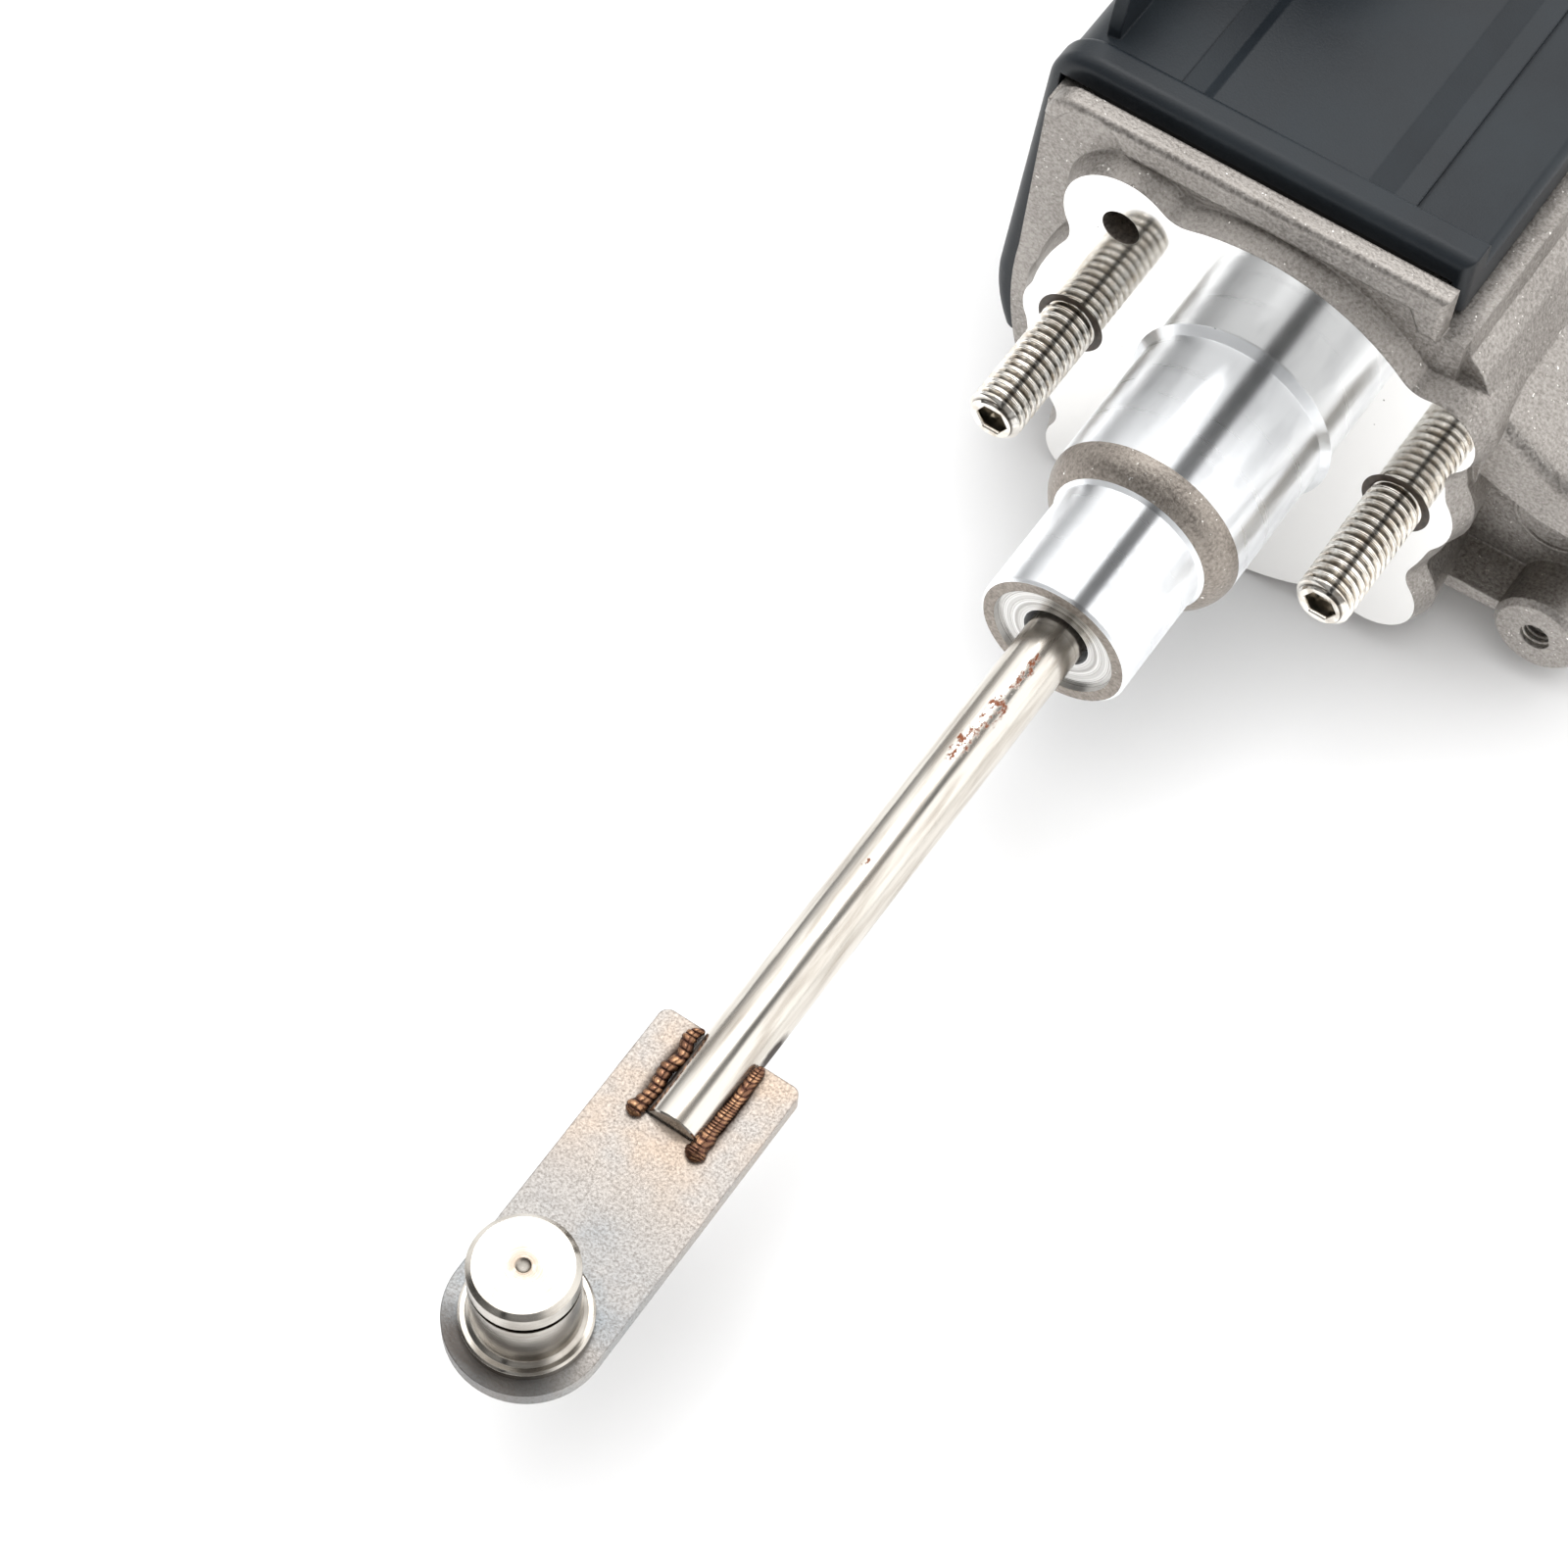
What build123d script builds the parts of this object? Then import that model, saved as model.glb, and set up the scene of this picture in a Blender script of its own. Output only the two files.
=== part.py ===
from build123d import *
import os
from math import atan2, ceil, cos, degrees, pi, radians, sin, sqrt, tan

# Electric wastegate actuator in millimetres. The origin lies on the rod axis in the machined flange face,
# midway between the two mounting studs. The rod points along -Y, +X is to its right and +Z is up, the way
# the pivot pin points.

os.makedirs("parts", exist_ok=True)

# Rod, link plate and pivot pin
rod_radius = 3.0
rod_inner_end = 19.4
rod_outer_end = -95.8
plate_width = 15.0
plate_thickness = 1.8
plate_top = 1.0
plate_square_end = -86.2
plate_corner_radius = 1.0
pin_y = -117.6
pin_radius = 4.95
pin_top = 12.0
pin_collar_radius = 6.0
pin_collar_top = 2.1
pin_foot = 0.9
clip_groove_drop = 2.3
clip_groove_height = 0.7
clip_groove_depth = 0.35

# Flange with its studs
stud_spacing = 37.4
stud_radius = 2.95
stud_stand_out = 14.6
stud_engagement = 10.0
stud_inner_radius = 2.9
stud_clearance = 0.05
stud_socket_across_flats = 3.0
stud_socket_depth = 4.0
stud_chamfer = 0.6
stud_end_gap = 0.3
stud_ring_radius = 3.65
flange_radius = 23.7
flange_flat = -24.0
pad_height = 2.5
pad_taper = 22.0
pad_notch_radius = 3.2
wall_depth = 4.3
web_depth = 7.5
rim_front = 1.6
rim_depth = 2.2
rim_rounding = 0.85
rim_foot = 25.0
rim_top = 28.5
rim_right = 17.5
mark_x = -20.5
mark_z = 24.1
mark_radius = 4.0
dowel_x = -15.1
dowel_z = 17.6
dowel_radius = 2.05
dowel_depth = 5.0

# Turned nose around the rod
nose_large_radius = 10.5
nose_base_radius = 11.3
nose_shoulder_y = -16.1
nose_small_radius = 8.12
nose_step_y = -19.2
nose_length = 32.8
nose_recess_radius = 6.6
nose_recess_depth = 0.6
nose_mouth_radius = 3.6
guide_bore_radius = 5.0
mouth_wall = 3.6

# Gear case
case_left = -25.9
case_belly = -26.9
case_right = 15.9
case_top = 26.6
ledge_z = 23.0
ledge_right = 19.9
deck_top = 9.0
deck_under = 4.0
chamber_left = -23.3
chamber_right = 14.3
rear_wall = 2.8
tunnel_radius = 8.0
tunnel_end = 32.0

# Wing on the right with its pocket, ribs and threaded boss
slope_x = 24.6
slope_z = 14.0
ridge_x = 22.2
ridge_z = 18.8
slope_rounding = 9.0
knee_x = 32.0
knee_z = 9.6
knee_rounding = 14.0
wing_root_x = 19.0
wing_root_z = 17.0
arch_x = 24.0
arch_z = 5.5
belly_x = 31.0
belly_z = 3.2
wing_right = 42.0
wing_front = 4.0
wing_length = 36.0
wing_top = 7.4
wing_bottom = 2.6
wing_rounding = 2.2
wing_web_y = 11.0
wing_web = 3.0
pocket_rounding = 2.0
ring_x = 31.6
ring_z = -5.0
ring_radius = 4.6
boss_x = 35.1
boss_z = -15.7
boss_front = 5.0
boss_radius = 4.9
boss_hole_radius = 1.65
boss_length = 14.0
rib_places = (-19.0, -12.2)
rib_thickness = 2.4
rib_bottom = -5.0

# Cover
cover_gap = 0.3
cover_right_wall = 1.5
cover_front = 5.0
cover_top = 29.6
bead_depth = 3.6
bead_rise = 1.0
bead_rounding = 1.3
cover_corner_radius = 5.0
cover_rear_wall = 2.0
gasket_height = 0.9
gasket_width = 1.2
skirt_end_z = -14.0

# Cover screws in their lugs
screw_radius = 1.9
screw_engagement = 9.0
screw_head_radius = 3.4
screw_head_height = 2.2
lug_radius = 4.2
lug_thickness = 3.0
rear_lug_x = (-17.0, 8.0)
side_lug_y = 55.0

# Drive: the output gear turns the rod's roller in and out along a spiral groove
stroke_out = 4.0
stroke_in = 6.0
drive_angle = radians(120)
output_x = -4.5
output_y = 25.6
roller_rest_y = 15.6
roller_radius = 1.8
roller_pin_radius = 1.2
groove_clearance = 0.12
output_module = 1.0
output_teeth = 34
output_disc_radius = 18.0
idler_pinion_teeth = 12
idler_x = 0.2
idler_module = 0.8
idler_teeth = 32
motor_pinion_teeth = 11
motor_x = -12.2
gear_floor_gap = 0.4
output_gear_height = 6.0
groove_depth = 4.0
idler_gear_gap = 0.8
idler_gear_height = 4.0
axle_radius = 1.75
axle_clearance = 0.06
tooth_backlash = 0.12

# Motor
motor_radius = 10.3
motor_pocket_clearance = 0.3
motor_floor = -21.2
motor_top = 8.4
motor_wall = 1.2
motor_shaft_radius = 1.0
barrel_wall = 2.2

# Connector shroud and its guard wall
shroud_left = -24.4
shroud_width = 15.0
shroud_front = 31.0
shroud_length = 22.0
shroud_top = 43.0
shroud_wall = 1.6
shroud_floor = 30.5
boss_wall = 1.8
board_width = 26.0
board_length = 18.0
board_thickness = 1.6
board_shift_x = 4.5
board_shift_y = -6.0
magnet_height = 2.4
terminal_count = 5
terminal_pitch = 3.4
latch_width = 6.0
latch_depth = 1.4
latch_bottom = 36.5
guard_thickness = 1.4
guard_front = 10.0

# Width and depth of the cuts that clear a whole side
cut_reach = 110.0

# Worked out from the sizes above
stud_x = stud_spacing / 2
guide_bore_front = mouth_wall - nose_length
cover_under = case_top + gasket_height
stroke = stroke_out + stroke_in
turn_per_mm = drive_angle / stroke
output_pitch_radius = output_module * output_teeth / 2
idler_pinion_radius = output_module * idler_pinion_teeth / 2
idler_pitch_radius = idler_module * idler_teeth / 2
motor_pinion_radius = idler_module * motor_pinion_teeth / 2
idler_y = output_y + sqrt((output_pitch_radius + idler_pinion_radius) ** 2 - (idler_x - output_x) ** 2)
motor_y = idler_y + sqrt((idler_pitch_radius + motor_pinion_radius) ** 2 - (motor_x - idler_x) ** 2)
motor_pocket_radius = motor_radius + motor_pocket_clearance
barrel_radius = motor_pocket_radius + barrel_wall
case_length = motor_y + motor_pocket_radius + rear_wall
rim_back = rim_front + rim_depth
wall_y = pad_height + wall_depth
web_y = pad_height + web_depth
pad_growth = pad_height * tan(radians(pad_taper))
skirt_depth = wing_web_y + 0.4 - pad_height
skirt_taper = degrees(atan2(pad_growth, skirt_depth))
cover_end = case_length + cover_gap + cover_rear_wall
shroud_x = shroud_left + shroud_width / 2
shroud_y = shroud_front + shroud_length / 2
shroud_right = shroud_left + shroud_width
rear_lug_y = case_length + lug_radius + 2.2
side_lug_x = case_right + lug_radius + 1.9
screw_places = tuple((x, rear_lug_y) for x in rear_lug_x) + ((side_lug_x, side_lug_y),)
output_bottom = deck_top + gear_floor_gap
output_top = output_bottom + output_gear_height
idler_gear_bottom = output_top + idler_gear_gap
idler_gear_top = idler_gear_bottom + idler_gear_height
board_under = output_top + magnet_height + 2.2
idler_angle = degrees(atan2(idler_y - output_y, idler_x - output_x))
motor_angle = degrees(atan2(motor_y - idler_y, motor_x - idler_x))


def at_y(y):
    """Return the sketch plane at y that sees the part from the rod's side: x to the right, z up."""
    return Plane.XZ.offset(-y)


def involute_angle(radius, base_radius):
    """Return the angle in radians that an involute has unrolled at this radius."""
    if radius <= base_radius:
        return 0.0
    roll = sqrt((radius / base_radius) ** 2 - 1)
    return roll - atan2(roll, 1)


def tooth_points(teeth, module, addendum, centre_angle):
    """Return the outline of one involute tooth, from its root on one side to its root on the other."""
    pitch = module * teeth / 2
    base = pitch * cos(radians(20))
    root = pitch - 1.25 * module
    tip = pitch + addendum * module
    half = pi / (2 * teeth) - tooth_backlash / (4 * pitch) + involute_angle(pitch, base)
    start = max(base, root)
    radii = [start + (tip - start) * i / 2 for i in range(3)]
    flank = [(r, half - involute_angle(r, base)) for r in radii]
    if root < base:
        flank.insert(0, (root, half))
    ordered = [(r, -a) for r, a in flank] + [(r, a) for r, a in reversed(flank)]
    centre = radians(centre_angle)
    return [(r * cos(centre + a), r * sin(centre + a)) for r, a in ordered]


def gear_face(teeth, module, addendum, first_angle):
    """Return the outline of a full spur gear with a tooth centred on first_angle."""
    points = []
    for i in range(teeth):
        points += tooth_points(teeth, module, addendum, first_angle + 360 * i / teeth)
    with BuildSketch() as gear:
        with BuildLine():
            Polyline(*points, close=True)
        make_face()
    return gear.sketch


def body_outline(gap, top=case_top):
    """Return the gear case's outline in x and z up to top, grown by gap on its left and right."""
    foot = (case_belly + 2.2 - gap, skirt_end_z - 0.5)
    belly = (case_belly + 0.1 - gap, 4)
    with BuildSketch() as outline:
        with BuildLine():
            ThreePointArc(foot, (case_belly - gap, -5), belly)
            Polyline(belly, (case_left - gap, top), (case_right + gap, top),
                     (case_right + gap, skirt_end_z - 0.5), foot)
        make_face()
    return outline.sketch


def lug_face(x, y, gap):
    """Return a screw lug's outline, joined to the case's rear or right side at gap outside it."""
    with BuildSketch() as lug:
        with Locations((x, y)):
            Circle(lug_radius)
            if y > case_length:
                Rectangle(2 * lug_radius, y - case_length - gap, align=(Align.CENTER, Align.MAX))
            else:
                Rectangle(x - case_right - gap, 2 * lug_radius, align=(Align.MAX, Align.CENTER))
    return lug.sketch


# The cast lobes around the machined face: x, z and radius
flange_lobes = (
    (dowel_x, dowel_z, 6.4),
    (-stud_x, 0, 5.6),
    (-14.8, -19.4, 4.6),
    (20.0, 12.3, 4.7),
    (stud_x, 0, 6.2),
    (18.6, -15.0, 5.2),
)

def pad_outline(grow=0.0):
    """Return the outline of the machined pad with its concave corners rounded, grown outwards by grow."""
    with BuildSketch() as outline:
        Circle(flange_radius)
        for x, z, radius in flange_lobes:
            with Locations((x, z)):
                Circle(radius)
        offset(amount=pad_notch_radius)
        offset(amount=grow - pad_notch_radius)
    return outline.sketch


def edges_at(part, y):
    """Return the part's edges that lie in the plane at y."""
    return part.edges().filter_by_position(Axis.Y, y - 0.01, y + 0.01)


# Housing: one aluminium casting with the flange, the nose, the gear case and the motor barrel
with BuildPart() as housing:
    # Front rim with rounded edges, in front of the cover's bead
    with BuildSketch(at_y(rim_front)):
        with BuildLine():
            Polyline((case_left, rim_foot), (case_left + 0.3, rim_top), (rim_right, rim_top),
                     (rim_right, ledge_z - 0.5), (rim_right - 2.4, ledge_z - 0.5),
                     (rim_right - 3.6, rim_foot), close=True)
        make_face()
        fillet(vertices().group_by(Axis.Y)[-1].sort_by(Axis.X)[0], 3.2)
    extrude(amount=-rim_depth)
    fillet(housing.faces().sort_by(Axis.Y)[0].edges(), rim_rounding)
    # Motor barrel
    with BuildSketch(Plane.XY.offset(flange_flat)):
        with Locations((motor_x, motor_y)):
            Circle(barrel_radius)
    extrude(amount=deck_top - flange_flat)
    chamfer(housing.edges().filter_by(GeomType.CIRCLE).group_by(Axis.Z)[0], 1.2)
    # Wing on the right, rounded at the front, with its web
    with BuildSketch(at_y(wing_front)):
        with BuildLine():
            Polyline((wing_root_x, wing_root_z), (slope_x, slope_z), (knee_x, knee_z), (wing_right, wing_top),
                     (wing_right, wing_bottom), (belly_x, belly_z), (arch_x, arch_z), (wing_root_x, arch_z),
                     close=True)
        make_face()
        fillet(vertices().sort_by_distance((slope_x, slope_z))[0], slope_rounding)
        fillet(vertices().sort_by_distance((knee_x, knee_z))[0], knee_rounding)
    extrude(amount=-wing_length)
    wing_edges = edges_at(housing, wing_front).filter_by(lambda edge: edge.center().X > 20)
    fillet(wing_edges.filter_by(lambda edge: edge.center().Z > 6.5), wing_rounding)
    with BuildSketch(at_y(wing_web_y)):
        with BuildLine():
            Polyline((20, 8), (wing_right, 5), (wing_right, boss_z), (20, boss_z - 2), close=True)
        make_face()
    extrude(amount=-wing_web)
    pocket_edges = edges_at(housing, wing_web_y).filter_by(lambda edge: 1 < edge.center().Z < 5.6)
    fillet(pocket_edges.filter_by(lambda edge: edge.center().X > 22), pocket_rounding)
    # Threaded boss and the rib that leads to it from the pad
    with BuildSketch(at_y(boss_front)):
        with Locations((boss_x, boss_z)):
            Circle(boss_radius)
    extrude(amount=-boss_length)
    chamfer(edges_at(housing, boss_front).filter_by(GeomType.CIRCLE), 0.6)
    with BuildSketch(at_y(wing_web_y)):
        with BuildLine():
            Polyline((18, -14.4), (boss_x, boss_z + 1.5), (boss_x, boss_z - 1.5), (18, -18.4), close=True)
        make_face()
    extrude(amount=wing_web_y - boss_front - 1.2, taper=10)
    # Cast wall behind the pad, cut round in the rim's corner by the mark of a casting pin
    with BuildSketch(at_y(pad_height)):
        add(body_outline(0))
        with Locations((case_right, skirt_end_z)):
            Rectangle(ledge_right - case_right, ledge_z - skirt_end_z, align=(Align.MIN, Align.MIN))
    extrude(amount=-web_depth)
    with BuildSketch(at_y(pad_height)):
        with Locations((mark_x, mark_z)):
            Circle(mark_radius)
    extrude(amount=pad_height, mode=Mode.SUBTRACT)
    # Machined pad: its cast edge flares, then draws in again towards the web
    with BuildSketch(at_y(0)):
        add(pad_outline())
    extrude(amount=-pad_height, taper=-pad_taper)
    with BuildSketch(at_y(pad_height)):
        add(pad_outline(pad_growth))
    extrude(amount=-skirt_depth, taper=skirt_taper)
    # Room for the cover behind the rim
    with BuildSketch(at_y(rim_back)):
        with Locations((0, case_top)):
            Rectangle(cut_reach, cut_reach, align=(Align.CENTER, Align.MIN))
    extrude(amount=-case_length, mode=Mode.SUBTRACT)
    # Gear case: walls down to the deck, then open above it
    with BuildSketch(at_y(pad_height)):
        add(body_outline(0))
        with Locations((0, deck_under)):
            Rectangle(cut_reach, cut_reach, mode=Mode.SUBTRACT, align=(Align.CENTER, Align.MAX))
    extrude(amount=-(case_length - pad_height))
    with BuildSketch(at_y(rim_back)):
        with BuildLine():
            Polyline((case_right - 1, ledge_z), (ledge_right, ledge_z), (ledge_right + 0.5, ledge_z - 2.4),
                     (ridge_x, ridge_z), (slope_x, slope_z), (slope_x, deck_under),
                     (case_right - 1, deck_under), close=True)
        make_face()
        fillet(vertices().sort_by_distance((ridge_x, ridge_z))[0], 2)
    extrude(amount=-(case_length - rim_back))
    # Left wall below the deck, under the cover's skirt
    with BuildSketch(at_y(web_y)):
        add(body_outline(0))
        with Locations((chamber_left, 0)):
            Rectangle(cut_reach, cut_reach, mode=Mode.SUBTRACT, align=(Align.MIN, Align.CENTER))
    extrude(amount=-(case_length - web_y))
    # Ribs under the deck, from the front wall to the barrel
    for x in rib_places:
        with BuildSketch(Plane.YZ.offset(x - rib_thickness / 2)):
            with BuildLine():
                Polyline((web_y, deck_under), (web_y, rib_bottom - 7), (web_y + 9, rib_bottom),
                         (motor_y - 10, rib_bottom), (motor_y - 10, deck_under), close=True)
            make_face()
        extrude(amount=rib_thickness)
    # Rod tunnel
    with BuildSketch(at_y(web_y)):
        Circle(tunnel_radius)
    extrude(amount=-(tunnel_end - web_y))
    # Underside cut flat
    with BuildSketch(Plane.XY.offset(flange_flat)):
        Rectangle(2 * cut_reach, 2 * cut_reach)
    extrude(amount=-20, mode=Mode.SUBTRACT)
    # Lugs for the cover screws
    for x, y in screw_places:
        with BuildSketch(Plane.XY.offset(deck_top)):
            add(lug_face(x, y, -1.0))
        extrude(amount=ledge_z - deck_top)
    # Nose, turned outside with a cast shoulder
    with BuildSketch(Plane.XY):
        with BuildLine():
            Polyline((0, 1), (nose_base_radius, 1), (nose_base_radius, 0), (nose_large_radius, -0.8),
                     (nose_large_radius, nose_shoulder_y))
            ThreePointArc((nose_large_radius, nose_shoulder_y), (nose_large_radius - 0.6, nose_step_y + 1.2),
                          (nose_small_radius + 0.4, nose_step_y))
            Polyline((nose_small_radius + 0.4, nose_step_y), (nose_small_radius, nose_step_y - 0.4),
                     (nose_small_radius, -nose_length + 0.3), (nose_small_radius - 0.3, -nose_length),
                     (0, -nose_length), (0, 1))
        make_face()
    revolve(axis=Axis.Y)
    # Chamber
    with BuildSketch(Plane.XY.offset(deck_top)):
        with BuildLine():
            Polyline((chamber_left, wall_y), (chamber_right, wall_y),
                     (chamber_right, case_length - rear_wall), (chamber_left, case_length - rear_wall),
                     close=True)
        make_face()
        fillet(vertices(), 3)
    extrude(amount=30, mode=Mode.SUBTRACT)
    # Guide bore, roller slot and motor pocket
    with BuildSketch(at_y(tunnel_end)):
        Circle(guide_bore_radius)
    extrude(amount=tunnel_end - guide_bore_front, mode=Mode.SUBTRACT)
    with BuildSketch(at_y(0)):
        Circle(nose_mouth_radius)
    extrude(amount=nose_length, mode=Mode.SUBTRACT)
    with BuildSketch(at_y(-nose_length)):
        Circle(nose_recess_radius)
    extrude(amount=-nose_recess_depth, mode=Mode.SUBTRACT)
    with BuildSketch(Plane.XY):
        with Locations((0, roller_rest_y + (stroke_in - stroke_out) / 2)):
            SlotOverall(stroke + 2 * roller_pin_radius + 1.2, 2 * roller_pin_radius + 0.8, rotation=90)
    extrude(amount=deck_top, mode=Mode.SUBTRACT)
    with BuildSketch(Plane.XY.offset(motor_floor)):
        with Locations((motor_x, motor_y)):
            Circle(motor_pocket_radius)
    extrude(amount=deck_top - motor_floor, mode=Mode.SUBTRACT)
    # Axle holes, stud holes, dowel hole, boss thread and screw holes
    for x, y in ((output_x, output_y), (idler_x, idler_y)):
        with BuildSketch(Plane.XY.offset(deck_under + 0.8)):
            with Locations((x, y)):
                Circle(axle_radius)
        extrude(amount=deck_top - deck_under, mode=Mode.SUBTRACT)
    with BuildSketch(at_y(0)):
        with Locations((-stud_x, 0), (stud_x, 0)):
            Circle(stud_inner_radius + stud_clearance)
    extrude(amount=-stud_engagement, mode=Mode.SUBTRACT)
    with BuildSketch(at_y(0)):
        with Locations((-stud_x, 0), (stud_x, 0)):
            Circle(stud_ring_radius)
    extrude(amount=-0.7, taper=45, mode=Mode.SUBTRACT)
    with BuildSketch(at_y(0)):
        with Locations((dowel_x, dowel_z)):
            Circle(dowel_radius)
    extrude(amount=-dowel_depth, mode=Mode.SUBTRACT)
    with BuildSketch(at_y(boss_front)):
        with Locations((boss_x, boss_z)):
            Circle(boss_hole_radius)
    extrude(amount=-9, mode=Mode.SUBTRACT)
    with BuildSketch(Plane.XY.offset(ledge_z)):
        with Locations(*screw_places):
            Circle(screw_radius + 0.05)
    extrude(amount=-10, mode=Mode.SUBTRACT)
    # Generic ring in the pocket's back wall
    with BuildSketch(at_y(wing_web_y)):
        with Locations((ring_x, ring_z)):
            Circle(ring_radius)
            Circle(ring_radius - 0.5, mode=Mode.SUBTRACT)
    extrude(amount=0.25)
housing.part.label = "housing"
export_step(housing.part, "parts/housing.step")


def cover_outline():
    """Return the cover's outer outline in x and z, with its stepped top."""
    right = case_right + cover_gap + cover_right_wall
    left_top = case_left - cover_gap - 1.2
    belly = case_belly - cover_gap - 2.0
    with BuildSketch() as outline:
        with BuildLine():
            Polyline((right, ledge_z + cover_gap), (right, cover_top - 2.0), (9.4, cover_top - 1.7),
                     (9.4, cover_top - 1.2), (7.0, cover_top - 1.2), (4.6, cover_top), (-12.2, cover_top),
                     (-13.4, cover_top - 0.5),
                     (-15.6, cover_top - 0.15), (-15.6, cover_top), (left_top, cover_top), (belly, -4))
            ThreePointArc((belly, -4), (belly + 0.3, -8), (belly + 2.6, skirt_end_z - 0.6))
            Polyline((belly + 2.6, skirt_end_z - 0.6), (0, skirt_end_z - 0.6), (0, ledge_z + cover_gap),
                     (right, ledge_z + cover_gap))
        make_face()
        fillet(outline.vertices().group_by(Axis.Y)[-1].sort_by(Axis.X)[0], cover_corner_radius)
        fillet(outline.vertices().sort_by_distance((right, cover_top - 2.0))[0], 1.0)
    return outline.sketch


def bead_outline():
    """Return the outer outline of the bead around the cover's front edge."""
    right = case_right + cover_gap + cover_right_wall
    top = cover_top + bead_rise
    with BuildSketch() as outline:
        with BuildLine():
            Polyline((right, ledge_z + cover_gap), (right, top), (-27.4, top), (-30.4, -4.4))
            ThreePointArc((-30.4, -4.4), (-30.0, -9.2), (-27.6, -15.4))
            Polyline((-27.6, -15.4), (0, -15.4), (0, ledge_z + cover_gap), (right, ledge_z + cover_gap))
        make_face()
        fillet(outline.vertices().group_by(Axis.Y)[-1].sort_by(Axis.X)[0], cover_corner_radius)
    return outline.sketch


def cover_room():
    """Return the room the cover leaves for the case inside it."""
    with BuildSketch() as room:
        add(body_outline(cover_gap, cover_under))
        with Locations((0, skirt_end_z - 3)):
            Rectangle(60, 4, align=(Align.CENTER, Align.MIN))
    return room.sketch


# Cover: one black moulding with a plump bead, the connector shroud and its guard wall
with BuildPart() as cover:
    with BuildSketch(at_y(cover_front)):
        add(bead_outline())
    extrude(amount=-bead_depth)
    fillet(cover.faces().sort_by(Axis.Y)[0].edges(), bead_rounding)
    bead_rear = cover.faces().sort_by(Axis.Y)[-1].edges()
    fillet(bead_rear.filter_by(lambda edge: edge.center().Z > cover_top), bead_rounding / 2)
    with BuildSketch(at_y(cover_front + bead_depth)):
        add(cover_outline())
    extrude(amount=-(cover_end - cover_front - bead_depth))
    with BuildSketch(at_y(0)):
        add(cover_room())
    extrude(amount=-cover_end, mode=Mode.SUBTRACT)
    # Rear wall and screw lugs
    with BuildSketch(at_y(case_length + cover_gap)):
        add(cover_outline())
        with Locations((0, ledge_z + cover_gap)):
            Rectangle(cut_reach, cut_reach, align=(Align.CENTER, Align.MAX), mode=Mode.SUBTRACT)
    extrude(amount=-cover_rear_wall)
    for x, y in screw_places:
        with BuildSketch(Plane.XY.offset(ledge_z + cover_gap)):
            add(lug_face(x, y, cover_gap + 0.8))
        extrude(amount=lug_thickness)
    # Connector shroud and the guard wall that leads to it
    with BuildSketch(Plane.XY.offset(cover_under)):
        with Locations((shroud_x, shroud_y)):
            RectangleRounded(shroud_width, shroud_length, 3)
    extrude(amount=shroud_top - cover_under)
    with BuildSketch(Plane.YZ.offset(shroud_left)):
        with BuildLine():
            Polyline((guard_front, cover_under), (guard_front, cover_top + 1),
                     (guard_front + 1.4, cover_top + 7), (guard_front + 5, cover_top + 10.6),
                     (shroud_front + 2, shroud_top - 1),
                     (shroud_front + 2, cover_under), close=True)
        make_face()
    extrude(amount=guard_thickness)
    with BuildSketch(Plane.XY.offset(shroud_floor)):
        with Locations((shroud_x, shroud_y)):
            RectangleRounded(shroud_width - 2 * shroud_wall, shroud_length - 2 * shroud_wall, 1.6)
    extrude(amount=shroud_top, mode=Mode.SUBTRACT)
    with BuildSketch(Plane.XY.offset(cover_under)):
        with Locations((shroud_x, shroud_y)):
            with GridLocations(0, terminal_pitch, 1, terminal_count):
                Rectangle(0.8, 2.2)
    extrude(amount=10, mode=Mode.SUBTRACT)
    # Latch for the plug on the shroud's right side
    with BuildSketch(at_y(shroud_y - latch_width / 2)):
        with BuildLine():
            Polyline((shroud_right - 0.2, latch_bottom), (shroud_right + latch_depth, latch_bottom),
                     (shroud_right + latch_depth, latch_bottom + 0.8),
                     (shroud_right - 0.2, latch_bottom + 4), close=True)
        make_face()
    extrude(amount=-latch_width)
    # Bosses under the cover for the two axles, and pegs for the sensor board
    for x, y, bottom in (
        (output_x, output_y, output_top + magnet_height + 0.6),
        (idler_x, idler_y, idler_gear_top + 0.4),
    ):
        with BuildSketch(Plane((x, y, bottom))):
            Circle(axle_radius + boss_wall)
            Circle(axle_radius, mode=Mode.SUBTRACT)
        extrude(amount=cover_under - bottom + 0.2)
    board_top = board_under + board_thickness
    with BuildSketch(Plane((output_x + board_shift_x, output_y + board_shift_y, board_top))):
        with GridLocations(board_width - 4, board_length - 4, 2, 2):
            Circle(1.5)
    extrude(amount=cover_under - board_top + 0.2)
    with BuildSketch(Plane.XY.offset(ledge_z)):
        with Locations(*screw_places):
            Circle(screw_radius + 0.3)
    extrude(amount=5, mode=Mode.SUBTRACT)
cover.part.label = "cover"
export_step(cover.part, "parts/cover.step")

# Gasket between the case and the cover
with BuildPart() as gasket:
    gasket_left = chamber_left - 0.3
    gasket_right = chamber_right + 0.2
    gasket_front = cover_front + 0.3
    gasket_rear = case_length - rear_wall + 0.6
    with BuildSketch(Plane.XY.offset(case_top)):
        with BuildLine():
            Polyline((gasket_left - gasket_width, gasket_front), (gasket_right + gasket_width, gasket_front),
                     (gasket_right + gasket_width, gasket_rear + gasket_width),
                     (gasket_left - gasket_width, gasket_rear + gasket_width), close=True)
        make_face()
        fillet(vertices(), 3)
        offset(amount=-gasket_width, mode=Mode.SUBTRACT)
    extrude(amount=gasket_height)
gasket.part.label = "cover_gasket"
export_step(gasket.part, "parts/cover_gasket.step")

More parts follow.
